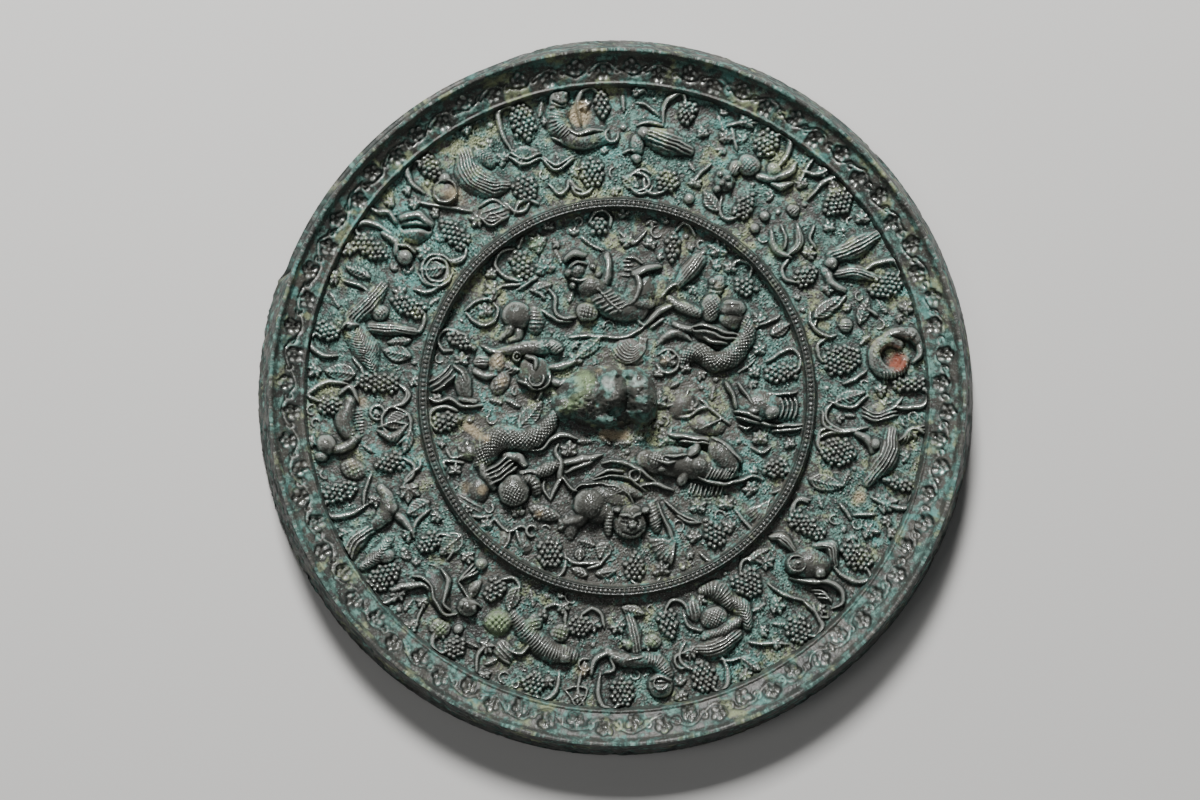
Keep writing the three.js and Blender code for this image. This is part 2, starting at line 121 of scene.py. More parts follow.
class Carving:
    """A sheet of heights that motifs are raised on."""

    def __init__(self, low, high, cell):
        self.low = low
        self.cell = cell
        self.x = np.arange(low[0], high[0] + cell / 2, cell)
        self.y = np.arange(low[1], high[1] + cell / 2, cell)
        self.height = np.zeros((len(self.y), len(self.x)), np.float32)

    def window(self, low, high):
        """The rows and columns over a box, and the coordinates there."""
        first = [max(int((low[i] - self.low[i]) / self.cell) - 1, 0) for i in (0, 1)]
        last = [max(int((high[i] - self.low[i]) / self.cell) + 2, 0) for i in (0, 1)]
        cells = (slice(first[1], last[1]), slice(first[0], last[0]))
        x, y = np.meshgrid(self.x[cells[1]], self.y[cells[0]])
        return cells, x, y

    def local(self, place, reach, turn):
        """A window round a place, with coordinates across and along an axis turned from +Y."""
        low = (place[0] - reach, place[1] - reach)
        high = (place[0] + reach, place[1] + reach)
        cells, x, y = self.window(low, high)
        angle = math.radians(turn)
        across = (x - place[0]) * math.cos(angle) + (y - place[1]) * math.sin(angle)
        along = (y - place[1]) * math.cos(angle) - (x - place[0]) * math.sin(angle)
        return cells, across, along

    def lift(self, cells, height):
        self.height[cells] = np.maximum(self.height[cells], height)

    def band(self, points, width, height):
        """Along a curve: the cells, how far out each lies from 0 to 1, the height, and both distances."""
        line = smooth_line(points)
        along = np.concatenate([[0], np.cumsum(np.hypot(*np.diff(line, axis=0).T))])
        share = along / along[-1]
        width = np.atleast_1d(width)
        height = np.atleast_1d(height)
        half = np.interp(share, np.linspace(0, 1, len(width)), width) / 2
        rise = np.interp(share, np.linspace(0, 1, len(height)), height)
        tangent = np.gradient(line, axis=0)
        tangent /= np.hypot(*tangent.T)[:, None]
        cells, x, y = self.window(line.min(0) - half.max(), line.max(0) + half.max())
        best = np.full(x.shape, 9.0)
        near = np.zeros(x.shape, int)
        if x.size == 0:
            return cells, best, near, near, near
        for i in range(len(line)):
            reach = int(half[i] / self.cell) + 2
            column = int(round((line[i, 0] - x[0, 0]) / self.cell))
            row = int(round((line[i, 1] - y[0, 0]) / self.cell))
            rows = slice(max(row - reach, 0), max(row + reach + 1, 0))
            columns = slice(max(column - reach, 0), max(column + reach + 1, 0))
            part = (rows, columns)
            q = np.hypot(x[part] - line[i, 0], y[part] - line[i, 1]) / half[i]
            closer = q < best[part]
            best[part] = np.where(closer, q, best[part])
            near[part] = np.where(closer, i, near[part])
        dx = x - line[near, 0]
        dy = y - line[near, 1]
        across = dy * tangent[near, 0] - dx * tangent[near, 1]
        onward = along[near] + dx * tangent[near, 0] + dy * tangent[near, 1]
        return cells, best, rise[near], onward, across

    def stroke(self, points, width, height, kind=None, pitch=1.1, depth=0.35, fall=0.85):
        """A raised band along a curve. Width and height may be lists that run along it. Thin ones taper."""
        ends = np.linspace(-1, 1, 25)
        widths = np.interp(ends, np.linspace(-1, 1, np.size(width)), np.atleast_1d(width))
        heights = np.interp(ends, np.linspace(-1, 1, np.size(height)), np.atleast_1d(height))
        taper = np.where(widths < SLIM, 1.1 - 0.6 * ends**6, 1.15)
        cells, best, rise, onward, across = self.band(points, widths * taper, heights * (1 - 0.25 * ends**6))
        body = np.clip(1 - best**2, 0, 1) ** fall * rise
        if kind:
            body = body + depth * grain(kind, onward, across, pitch) * np.clip(1.5 * (1 - best), 0, 1)
        self.lift(cells, np.where(best < 1, body, 0))

    def etch(self, points, width, depth):
        """A ridge laid on what is there already, or a groove cut in it where depth is negative."""
        cells, best, rise, _, _ = self.band(points, width, depth)
        self.height[cells] += np.where(best < 1, rise * (1 - best.clip(0, 1) ** 2), 0)

    def comb(self, points, size, count, lean, width=0.6, depth=0.7):
        """Short parallel ridges set along a curve. Lean turns them from +X."""
        line = smooth_line(points)
        half = size / 2 * np.array([math.cos(math.radians(lean)), math.sin(math.radians(lean))])
        for i in np.linspace(0, len(line) - 1, count).astype(int):
            self.etch([line[i] - half, line[i] + half], width, depth)

    def texture(self, place, width, length, turn, kind, pitch, depth):
        """A pattern laid over what is there already, inside an oval."""
        cells, u, v = self.local(place, max(width, length) / 2, turn)
        q = np.hypot(u / (width / 2), v / (length / 2))
        self.height[cells] += depth * grain(kind, v, u, pitch) * np.clip(2.5 * (1 - q), 0, 1)

    def lump(self, place, width, length, height, turn=0, kind=None, pitch=1.1, depth=0.35, fall=0.5):
        """A rounded lump. Its length runs along an axis turned from +Y."""
        cells, u, v = self.local(place, max(width, length) / 2, turn)
        q = np.hypot(u / (width / 2), v / (length / 2))
        body = height * np.clip(1 - q**2, 0, 1) ** fall
        if kind:
            body = body + depth * grain(kind, v, u, pitch) * np.clip(1.5 * (1 - q), 0, 1)
        self.lift(cells, np.where(q < 1, body, 0))

    def bunch(self, place, width, length, turn, height=3.6, berry=1.66):
        """Grapes on a low mound. Its tip points along an axis turned from +Y."""
        self.lump(place, width * 0.96, length * 0.98, height * 0.48, turn, fall=0.6)
        angle = math.radians(turn)
        side = np.array([math.cos(angle), math.sin(angle)])
        up = np.array([-math.sin(angle), math.cos(angle)])
        rows = max(2, round(length / (0.866 * berry)))
        for row in range(rows):
            v = ((row + 0.5) / rows - 0.5) * (length - 0.3 * berry)
            taper = min(1.0, 0.5 + 1.5 * (0.5 - v / length))
            half = width / 2 * taper * math.sqrt(max(0.0, 1 - (2 * abs(v) / length) ** 4))
            places = np.arange(-8, 9) * berry + (berry / 2 if row % 2 else 0)
            places = places[np.abs(places) < half - 0.2 * berry]
            if len(places) == 0:
                places = np.zeros(1)
            for u in places:
                jitter = random.normal(0, 0.08 * berry, 2)
                q = min(0.95, math.hypot(u / (width / 2), v / (length / 2)))
                top = height * (0.56 * math.sqrt(1 - q * q) + 0.4 + random.normal(0, 0.03))
                centre = np.array(place) + side * (u + jitter[0]) + up * (v + jitter[1])
                self.lump(centre, berry * 1.06, berry * 1.06, top, fall=0.5)

    def leaf(self, place, width, length, turn, height=2, veins=1.3):
        """A pointed leaf with a midrib and side veins."""
        cells, u, v = self.local(place, length / 2, turn)
        part = np.clip(v / length + 0.5, 0, 1)
        half = width / 2 * np.sin(math.pi * part**0.85).clip(0, 1) ** 0.8 + 1e-3
        q = np.abs(u) / half
        body = height * (0.7 - 0.35 * q**2 + 0.2 * (q > 0.72)) * np.clip(4 * (1 - q), 0, 1) ** 0.5
        body = body + 0.55 * np.exp(-((u / 0.45) ** 2)) + 0.26 * np.cos(2 * math.pi * (v - np.abs(u)) / veins)
        self.lift(cells, np.where((q < 1) & (np.abs(v) < length / 2), body, 0))

    def lobed_leaf(self, place, size, turn, height=2, lobes=5):
        """A vine leaf: veined lobes that spread from one point, the middle one longest."""
        for lobe in range(lobes):
            side = lobe - (lobes - 1) / 2
            angle = math.radians(turn + 52 * side + random.uniform(-7, 7))
            length = size * (0.62 - 0.07 * abs(side)) * random.uniform(0.9, 1.1)
            out = 0.5 * length - 0.08 * size
            centre = (place[0] - out * math.sin(angle), place[1] + out * math.cos(angle))
            rise = height * random.uniform(0.8, 1.05)
            self.leaf(centre, 0.42 * size, length, math.degrees(angle), rise, 1.05)
        self.lump(place, 0.24 * size, 0.24 * size, 1.1 * height)

    def fan(self, place, size, turn, height=2.2, spread=75, ribs=9):
        """Ribs that spread from one point, like a shell."""
        cells, u, v = self.local(place, size, turn)
        angle = np.degrees(np.arctan2(u, v))
        q = np.hypot(u, v) / size
        body = height * (0.35 + 0.65 * np.sin(math.pi * q.clip(0, 1) ** 1.3))
        body = body + 0.3 * np.cos(math.pi * angle * ribs / spread) * q
        inside = (np.abs(angle) < spread) & (q < 1)
        self.lift(cells, np.where(inside, body * np.clip(6 * (1 - q), 0, 1) ** 0.5, 0))

    def curl(self, place, size, turn, height=1.9, width=1.25, sweep=300):
        """A ring of vine that doesn't quite close."""
        angles = np.radians(turn + np.linspace(0, sweep, 9))
        points = [(place[0] + size / 2 * math.cos(a), place[1] + size / 2 * math.sin(a)) for a in angles]
        self.stroke(points, width, height)

    def weather(self, warp, blur, seed):
        """Bends everything slightly, so that nothing stays ruler-true, and softens it."""
        wavy = [warp * noise(self.height.shape, 20, 60, seed + i) for i in (0, 1)]
        rows, columns = np.indices(self.height.shape)
        self.height = gauss(sample(self.height, rows + wavy[0], columns + wavy[1]), blur)


def sample(field, rows, columns):
    """Values of a sheet between its cells."""
    rows = rows.clip(0, field.shape[0] - 1.001)
    columns = columns.clip(0, field.shape[1] - 1.001)
    r = rows.astype(int)
    c = columns.astype(int)
    s = rows - r
    t = columns - c
    top = field[r, c] * (1 - t) + field[r, c + 1] * t
    below = field[r + 1, c] * (1 - t) + field[r + 1, c + 1] * t
    return top * (1 - s) + below * s


carving = Carving((-REACH, -REACH), (REACH, REACH), CELL)
stroke = carving.stroke
etch = carving.etch
comb = carving.comb
texture = carving.texture
lump = carving.lump
bunch = carving.bunch
leaf = carving.leaf
lobed_leaf = carving.lobed_leaf
fan = carving.fan
curl = carving.curl


def polar(bearing, distance):
    """A place from its bearing in degrees from +X and its distance from the centre."""
    angle = math.radians(bearing)
    return distance * math.cos(angle), distance * math.sin(angle)


def spoke(hub, angle, distance):
    """A place at an angle and distance from a hub."""
    return hub[0] + distance * math.cos(angle), hub[1] + distance * math.sin(angle)


def arc(points, *rest):
    """A stroke through places given by bearing and distance."""
    stroke([polar(*point) for point in points], *rest)


def winged_lion():
    """The lion above the knob, its head at the left."""
    lump((-9.5, 41.6), 15, 13, 4.8, 0, fall=0.9)
    lump((-13, 42.4), 7.4, 8, 6.6, -20, fall=0.7)
    lump((-16.2, 41.4), 3, 3, 6.4)
    stroke([(-17, 46), (-14.4, 48), (-11, 47.4)], [2, 2.8, 2], [4.6, 6, 5])
    stroke([(-15.8, 43.4), (-13, 45), (-10.2, 44.2)], [1.4, 1.8, 1.4], 7.4)
    etch([(-16, 45), (-13.4, 46.4), (-10.6, 45.8)], 1, -1.2)
    lump((-8.4, 43.4), 2.8, 2.6, 7)
    lump((-6.6, 41), 3, 2.8, 6.4)
    stroke([(-15.6, 39.4), (-12.4, 38.8), (-9.8, 39.8)], 1.6, 5.8)
    lump((-14.8, 37.4), 2.8, 2.4, 4.4)
    stroke([(-3.4, 47.6), (-3, 44), (-3.6, 40), (-5, 36.4)], [2, 3, 4, 3], [2.6, 3.8, 4.4, 4], fall=1.2)
    lump((-8.2, 37.4), 11, 9, 6.2, 0, fall=0.6)
    stroke([(-8, 35.6), (-4, 32.4), (0.4, 30), (7, 29.6)], [8, 8.4, 8, 7], [4.6, 5, 4.8, 4.4], fall=0.6)
    etch([(-6.6, 36.2), (-2.4, 31.6), (1, 28.8)], 1, 1)
    comb([(-3.8, 35.2), (-0.6, 32.6), (1.8, 30.4)], 3, 6, 26, 0.8, 1.1)
    comb([(-6.8, 32.6), (-4, 30), (-1.2, 28.2)], 2.6, 5, 20, 0.8, 1)
    lump((-10, 28.6), 8, 6.8, 5)
    texture((-10, 28.6), 7, 6, 30, "scales", 1.7, 0.7)
    lump((8.8, 36), 10, 14, 5, -8, fall=0.9)
    stroke([(6.4, 41.4), (7.4, 37), (5.6, 32.6), (2, 30)], [2.4, 3.4, 4, 3], [6.4, 6.6, 5.8, 4.6])
    stroke([(6.2, 41), (9.4, 42.6), (15, 43.8)], [3, 2.8, 1.6], [6.6, 5.4, 3])
    stroke([(7, 37), (5.6, 33), (1.4, 30.6)], [7, 6.6, 4], [5.8, 5.2, 4])
    lump((6.6, 31.4), 13, 5.4, 4.8)
    lump((13.4, 36), 8, 12, 2.4, 0, fall=1)
    stroke([(-22.4, 36), (-20.8, 33), (-20.5, 28.5), (-18, 26.4), (-14, 26.6)], 1.5, 3.4)
    stroke([(-25.5, 29.5), (-22, 27), (-19, 25.4), (-15, 25.4)], 1.3, 2.6)
    stroke([(3, 46.5), (6, 46.8), (8.5, 44.6)], 1.1, 1.8)
    comb([(3.4, 45.4), (4, 43), (3, 40.6)], 2.4, 4, 0, 0.8, 1.1)


def curled_beast():
    """The beast at the upper right, its scaly body curved below it."""
    stroke([(14.5, 33), (17.5, 36.5), (20.4, 38.2)], 1.3, 2.6)
    stroke([(20.6, 38), (24, 42), (27.6, 46.2)], [3, 5.6, 4.6], [3.6, 5, 4.4], "stripes", 0.95, 0.35)
    stroke([(17.8, 32.6), (21, 30.6), (27, 28.4)], [2.6, 3.8, 3.6], [3.4, 4.6, 4.4], "scales", 1.25, 0.5)
    lump((31.6, 30), 7, 10, 5.4, -10, "scales", 1.35, 0.8)
    lump((38.4, 26.6), 9, 8, 5.4, 0, fall=0.6)
    lump((38.4, 29.6), 9.4, 7, 7.2, 0, fall=0.55)
    lump((38.2, 31.4), 6.4, 3, 7.4)
    lump((32.6, 21.2), 7, 17, 3.8, 78, fall=0.7)
    stroke([(25.4, 23.6), (29, 24), (35, 22), (40.8, 20.8)], [1.3, 1.7, 1.7, 1.2], [4.8, 5.8, 5.8, 4.6])
    stroke([(25.6, 22), (30, 22), (35, 20), (40.4, 19.4)], [1.3, 1.7, 1.7, 1.2], [4.4, 5.6, 5.6, 4.6])
    stroke([(28.6, 20.4), (32, 18.6), (37.6, 18)], [1.3, 1.7, 1.3], [4.2, 5.2, 4.4])
    stroke([(19.4, 24.4), (22, 23), (25, 22.6)], [2, 3, 2.6], 3.4, "scales", 1.3, 0.4)
    stroke([(22, 12.6), (25.6, 15), (29, 14.4), (32.6, 12.2), (37, 13), (40.8, 17), (43.6, 21.4), (43, 26)],
           [4.4, 6, 6.4, 6.6, 7, 6.6, 5.6, 4.4], [3.4, 4.8, 5.2, 5.4, 5.6, 5.2, 4.6, 4], "scales", 1.35, 0.9)
    comb([(45.4, 14), (44.8, 11), (42, 9.4)], 3, 6, 40, 0.7, 1.2)
    lump((33.4, 37.4), 7.4, 5.4, 3.2, 70)
    etch([(30.6, 36.6), (34, 35.8), (37, 37)], 0.9, -1)
    lump((32, 38.6), 3, 2.6, 4.2)


def plump_bird():
    """The bird at the right, its tail feathers spread towards the ring."""
    lump((48, -2.6), 17, 11, 4.6, 0, fall=0.7)
    lump((51.6, -4.8), 6, 5.4, 7.2)
    lump((45.6, -4.6), 5, 3.4, 5.6)
    stroke([(36.4, 4.8), (38.8, 0.6), (39.8, -3.8)], 1.7, 4.8)
    stroke([(40.6, 4.4), (43.6, 0.4), (46.4, -3.6)], 1.5, 4.8)
    stroke([(39.4, -4.8), (43, -5.2), (48, -7.4)], 1.7, 5.4)
    stroke([(40, -6.6), (44, -7.6), (48, -8.6)], 1.4, 4.6)
    stroke([(48.6, 1.4), (54, 1.2), (60, 1.6)], 1.2, 3)
    for step in range(4):
        x = 54.6 + 1.6 * step
        stroke([(x, 0), (x + 1, -3.4), (x - 0.2, -7)], 0.95, 4 - 0.4 * step)
    stroke([(48, -8.4), (54, -9.6), (62.6, -9)], 1.4, 3.2)
    stroke([(52, -11.4), (57, -11), (62.4, -10)], 1.3, 2.8)
    stroke([(41, -9.4), (43.4, -10.6), (45.4, -9.8)], 1.2, 2.6)


def ribbed_lion():
    """The lion at the lower right, with combed rows of hair."""
    stroke([(10, -21), (17, -21.4), (26, -22.4), (33, -24)], [6.4, 9, 9.4, 7], [4.6, 5.2, 5.2, 4.4], fall=0.6)
    lump((13.4, -20.8), 8.6, 7, 6.2, 0, fall=0.6)
    texture((13, -20), 8, 5.6, 20, "scales", 1.5, 0.7)
    stroke([(13.4, -21.4), (16.6, -22), (19.6, -21.2)], [1.4, 2, 1.4], 7.2)
    stroke([(15.6, -19.6), (19, -19.8), (23, -19)], [1.6, 2, 1.6], 6.8)
    lump((15, -23.8), 5, 3, 5)
    lump((27, -22.6), 7.6, 7.4, 6.8, 0, fall=0.45)
    stroke([(26.8, -15.4), (26, -17.6), (23.4, -19.6)], [2.4, 4.2, 3], [5, 7, 6])
    stroke([(17, -12.4), (23, -13.2), (30, -14.4)], [1.5, 2, 2.2], [3.4, 4.4, 5])
    stroke([(21, -14.6), (26, -15), (31, -15.6)], 1.2, 4.2)
    lump((35.6, -19.8), 8, 14, 6.2, 38, fall=0.45)
    stroke([(32, -13.6), (36, -16), (41.6, -21.6)], [1.6, 2.4, 1.6], 5.6)
    lump((34.6, -25.4), 13, 5.4, 4.6, 0, fall=0.7)
    comb([(30.6, -25.4), (34.6, -26), (38.8, -25.4)], 4, 8, 60, 0.75, 1.5)
    stroke([(26, -26), (30, -28), (36, -28.8), (42, -27.6), (45, -26.2), (49, -27.6)],
           [1.4, 1.5, 1.5, 1.3, 1], [4.6, 4.4, 4, 3, 2.4])
    comb([(24.6, -30.4), (29, -31.2), (35, -31)], 3, 9, 75, 0.7, 1.8)
    lump((22.4, -26), 8, 4.4, 4, 70)


def front_lion():
    """The lion at the bottom, its face to the front and fine hair fanned behind its shoulder."""
    lump((-3.6, -33.4), 19, 9, 4.4, -12, fall=0.8)
    lump((-5, -38), 12, 9, 4.6, 20, fall=0.8)
    lump((0.4, -30.8), 17, 5.4, 3.6, -14, fall=0.8)
    for angle in np.radians(np.linspace(22, 142, 26)):
        reach = 8.6 + 3.2 * math.cos(angle)
        etch([spoke((-9, -35.6), angle, 5), spoke((-9, -35.6), angle, reach)], 0.62, [0.3, 0.9, 0.9])
    for angle in np.radians(np.linspace(30, 112, 22)):
        etch([spoke((-1.6, -35.6), angle, 6.6), spoke((-1.6, -35.6), angle, 8.8)], 0.5, 0.6)
    stroke([(-15.4, -32.2), (-12, -29.6), (-6.3, -28.8), (0, -29.8), (4, -33), (5.4, -36)],
           0.8, [2.6, 4.6, 5, 5, 4.6, 4])
    stroke([(-8, -27.4), (-2, -26.4), (4, -27.2), (9.6, -31.4)], 0.7, 3.2)
    lump((-9, -35.6), 11.4, 10.8, 7.4, 20, fall=0.5)
    lump((4.4, -41.6), 12, 12, 6.2, 0, fall=0.55)
    lump((0, -37.6), 3.2, 2.8, 6.6)
    lump((9.4, -38), 3.2, 2.8, 6.6)
    stroke([(1, -39.4), (3.6, -39.6), (5, -40.6)], 2, [7, 7.8, 7.4])
    stroke([(8.2, -38.8), (6.4, -39.4), (5, -40.6)], 1.8, [7, 7.6, 7.4])
    lump((4.8, -42.8), 4.6, 3, 8.2)
    etch([(1.4, -41.6), (3, -42), (3.4, -43.6)], 0.8, -1.2)
    etch([(6.4, -41), (7, -41.8), (6.8, -43)], 0.8, -1.2)
    etch([(2, -44.8), (5.2, -45.8), (8, -44.6)], 0.9, -1)
    comb([(0, -45.6), (4.6, -47.4), (9, -45.4)], 2, 9, 90, 0.55, 0.7)
    lump((12.4, -40), 5, 11, 3.6, 12, fall=0.8)
    comb([(10.6, -35.6), (13, -39.6), (12.4, -45)], 4.4, 11, 30, 0.6, 0.8)
    stroke([(13.6, -35.4), (15.8, -41), (18.6, -47.4)], [1, 1.3, 2], [4, 3.8, 2.4])
    stroke([(-10, -38.5), (-13, -41), (-18, -42)], [5, 4.4, 3.4], [4.6, 3.6, 3])
    stroke([(-2.4, -38), (-2.8, -42), (-2.6, -45)], [4.6, 3.6, 2.4], [5, 4.2, 3], "ribs", 1.1, 0.3)
    stroke([(-18.4, -26.6), (-15.4, -30.4), (-13, -31.4)], 1.2, 3.6)
    stroke([(-18, -22), (-12, -21), (-5, -19.4)], [2.2, 3.4, 1.2], [3, 3.4, 2])
    stroke([(-17, -25), (-12.6, -23), (-8, -21.4)], [1.2, 1.8, 1.2], 3)
    stroke([(-7.4, -26.4), (-3, -24.6), (2, -24.8)], 1.1, 2.6)
    stroke([(-5, -22), (0, -21.4), (6, -23.4), (13, -28)], [1, 1.5, 1.5, 1.1], 3)
    stroke([(8, -29.8), (12.5, -28.8), (19, -31)], [1.1, 1.6, 1.1], 3)
    curl((6, -26), 3.6, 0, 2.6, 0.9, 350)
    stroke([(16, -34.6), (20.4, -38.6), (27, -41.6)], 1.1, 2.4)


def scaly_serpent():
    """The serpent-like beast at the lower left, from beside the knob to its round haunch."""
    body = [(-20.6, -5.6), (-23.6, -10), (-28, -13.4), (-33, -14), (-38.6, -13.6), (-43, -16.4), (-45.4, -22)]
    stroke(body, [3.4, 5.6, 7.4, 7.6, 8.4, 8.6, 5], [4, 5, 5.8, 5.8, 5.8, 5.2, 3.6], "scales", 1.4, 0.9)
    stroke([(-45.6, -22), (-43.4, -27), (-41, -30)], [3, 4, 2.6], [3.4, 4, 3])
    lump((-39.4, -25.2), 6.4, 12, 3.8, -54, fall=0.7)
    for step in range(4):
        shift = 1.35 * (step - 1.5)
        ends = [(-44.2, -27.4), (-39.6, -25), (-34.8, -21.2)]
        stroke([(x + 0.6 * shift, y - shift) for x, y in ends], 1.25, [4, 5.4 - 0.3 * abs(shift), 4.2])
    stroke([(-37, -19.6), (-33, -20), (-31, -22.4)], [3, 3.6, 2.4], 3.8)
    lump((-34.6, -31.2), 10.6, 11, 6.4, 15, fall=0.45)
    texture((-35, -33), 9, 8, 20, "scales", 1.35, 0.75)
    stroke([(-30.6, -27), (-28, -28.4), (-27, -31)], [4, 5, 4], [4.6, 4.8, 4], "ribs", 1.2, 0.4)
    stroke([(-32, -25.4), (-28.4, -25), (-26, -26)], 2, 4)
    stroke([(-19.8, -22), (-23, -23.8), (-27, -25.6)], [3.4, 4.6, 3.4], [3.8, 4.8, 4], "scales", 1.3, 0.75)
    stroke([(-19.4, -15.6), (-20.4, -18.6), (-19, -22), (-19, -27)], [1.4, 1.8, 2.4, 2], [2.6, 3, 3.6, 3])
    stroke([(-29, -17.8), (-25, -17.2), (-22, -14), (-18, -12.4), (-13, -14)], [1, 1.4, 1.8, 1.8, 1.2], 2.8)
    stroke([(-18.4, -27), (-21, -31), (-22.4, -34.4)], [2, 1.6, 1.2], [2.8, 2.4, 1.8])
    stroke([(-24, -27.6), (-24.4, -31), (-22.6, -34)], 1.1, 2.2)


def worn_beast():
    """The worn beast at the upper left."""
    lump((-33.6, 27.2), 10, 10, 5.8, 30, fall=0.5)
    stroke([(-35, 24), (-36.4, 21.6), (-38.4, 19.6)], [5, 3.4, 2.2], [4.6, 3.6, 2.2])
    stroke([(-33, 23), (-33.4, 20), (-36, 19)], [4, 3.4, 2.4], [4, 3.2, 2.2])
    lump((-27.4, 26), 7, 10, 3.2, 0, "ribs", 1.3, 0.4, 0.7)
    stroke([(-38, 15.4), (-31, 16.4), (-24, 17)], [2.6, 4.6, 4.6], [3, 4.4, 4.4], fall=0.6)
    lump((-21, 17), 4.4, 6.4, 4, 60)
    comb([(-22.6, 18.2), (-20.4, 17), (-19.4, 15.4)], 3.6, 6, 35, 0.7, 0.9)
    curl((-33.4, 13.4), 2.6, 0, 4.4, 0.8, 350)
    lump((-33.4, 13.4), 1.2, 1.2, 4.2)
    lump((-27.4, 8), 11, 12, 4.6, 20, fall=0.6)
    curl((-27, 6.4), 5, 150, 6, 1, 240)
    curl((-26.6, 6.8), 8.4, 180, 5, 1, 200)
    stroke([(-30, 13.6), (-27.6, 12.4), (-27, 9)], [2, 2.6, 1.6], 6)
    stroke([(-33, 5.4), (-29, 4), (-25.6, 3.6)], 1.3, 4.6)
    lump((-40, 11.6), 10, 5.6, 3, 80, "scales", 1.8, 0.4)
    lump((-39, 5), 9, 6, 2.6, 60, "scales", 2.1, 0.4)
    lump((-45, 12), 6, 5, 2.4, 0, "ribs", 1.2, 0.4)
    stroke([(-47, 8.6), (-44, 7), (-40, 7.6)], [2.4, 3, 2], 2.6)
    stroke([(-45, 17), (-40, 15), (-35, 15.4)], [1.4, 2.4, 1.4], 2.4)
    stroke([(-22, 10), (-18, 10.6), (-13, 12.4)], [2, 2.6, 1.4], [3, 3.2, 2])
    stroke([(-22, 5.4), (-19, 4.6), (-17, 6)], [2.6, 2.6, 1.6], [3, 2.6, 2])


def left_beast():
    """The small beast at the left, against the ring."""
    lump((-51.4, 4.4), 6, 13, 4.4, 12, fall=0.6)
    stroke([(-54.4, 10.4), (-52, 8.4), (-50.4, 5)], [1.4, 2, 1.4], 5)
    stroke([(-64, 0.4), (-60.4, -1.4), (-55.6, -0.6), (-51.4, -3), (-45, -2.6)], 1.5, [2.4, 3, 3.2, 2.6])
    stroke([(-52, -0.4), (-47.6, -1.4)], [2.6, 2], 3.2)
    lump((-58.2, 6), 6.4, 12.4, 2.6, -58, fall=0.6)
    for shift in (-1.6, 0, 1.6):
        ends = [(-62.4, 3.4), (-58.4, 5.6), (-54.6, 9.4)]
        stroke([(x - 0.6 * shift, y + 0.8 * shift) for x, y in ends], 1, 3.8)


INNER_VINES = [
    [(-16, 20.2), (-8, 20.4), (2, 20), (7, 22), (9.6, 24)],
    [(-3, 29.5), (0, 27.9), (5, 27.4), (8, 24.6), (9.6, 24)],
    [(11.4, 23.2), (15.6, 26.4)],
    [(-38.6, 37), (-34, 37.6), (-31, 38.4), (-27, 40.4)],
    [(-33, 36), (-30, 38), (-26.5, 40)],
    [(-29, 36), (-26, 34.6), (-24, 33)],
    [(17, -3.2), (22, -0.8), (24, 2.4)],
    [(27.8, -1), (31, -3.4), (34.4, -6.6), (37.6, -9)],
    [(20.4, -6.6), (24, -6.2), (28, -3.8), (31, -3.4)],
    [(1, 55), (5.4, 51.6), (10, 55.6)],
    [(20, -39.4), (24, -41.6), (28, -42)],
    [(40, -38), (43, -42), (46.6, -45)],
    [(45, -16.6), (48.4, -18.6), (51.6, -16.6)],
    [(47.5, 24), (51, 25.4), (54.6, 27.4)],
    [(-17.5, -53.4), (-14, -55.4), (-9.4, -55.4), (-5, -54.8)],
    [(-9.6, -57), (-6, -55.6), (-2.4, -52.4)],
    [(-12, 53.6), (-8.4, 51), (-4.6, 49.4)],
    [(-41, -40.6), (-36.4, -44.6), (-32, -43), (-30, -44.4)],
    [(-35.6, -44.4), (-36.4, -48), (-38.6, -50.6), (-41, -48.6)],
    [(-33.6, -44.4), (-32.4, -48), (-30.6, -50)],
    [(-57.4, -24), (-57.8, -21.6), (-54.6, -21.4), (-51, -22)],
    [(-56.6, -17.6), (-55.4, -20), (-52.6, -20)],
]

# Each bunch: its place, width, length, the way its tip points, and the vine that loops over it
INNER_BUNCHES = [
    ((-32, 44.2), 7.5, 11, 25, [(-31, 38.6), (-37, 40.2), (-40.6, 44), (-38.6, 48.4), (-34.4, 49.6)]),
    ((-6, 57.4), 5.4, 5.6, 0, [(-9, 58.4), (-7.4, 61.6), (-4.4, 62.4), (-1.8, 60.4), (-2.4, 57)]),
    ((18.6, 50.4), 5.4, 11, -4, [(20, 56), (22, 58.4), (24.6, 57.4), (26.2, 54.2)]),
    ((43, 37.2), 7.6, 6.4, -30, [(37.6, 42), (39.6, 45), (43, 45.6), (45.4, 43.4), (44.6, 40.4)]),
    ((55, 8.4), 6, 11.5, 95, [(50, 12), (55, 15), (59, 16), (61.6, 13.4), (61, 9.6), (58, 8.4)]),
    ((53, -23.6), 7, 8.6, 100, [(51, -22.4), (56, -23), (58.2, -26), (56.4, -30), (52, -32)]),
    ((32, -45), 6.4, 11, 30, [(28, -52), (31, -54.8), (35, -54), (37, -50.6)]),
    ((6, -56), 7, 9.6, -3, [(4.6, -61), (8, -63.4), (12, -63), (14.4, -60.6)]),
    ((-22.4, -51.6), 8, 10.6, 2, [(-26, -57), (-22.6, -60.4), (-18.4, -59), (-17.2, -54.6)]),
    ((-51, -38.4), 5, 6, -60, [(-54.6, -31), (-53.4, -35), (-51.4, -39), (-46, -40), (-42, -39.4)]),
    ((-56.4, -8), 6.4, 10.5, -80, [(-53, -4.6), (-57.4, -3.2), (-61.6, -4.4), (-62.6, -8), (-60, -11)]),
    ((-52, 18.6), 4.6, 11.5, -118, [(-50, 20.6), (-56.6, 22.4), (-59.6, 20), (-58.6, 16), (-55, 15.4)]),
]

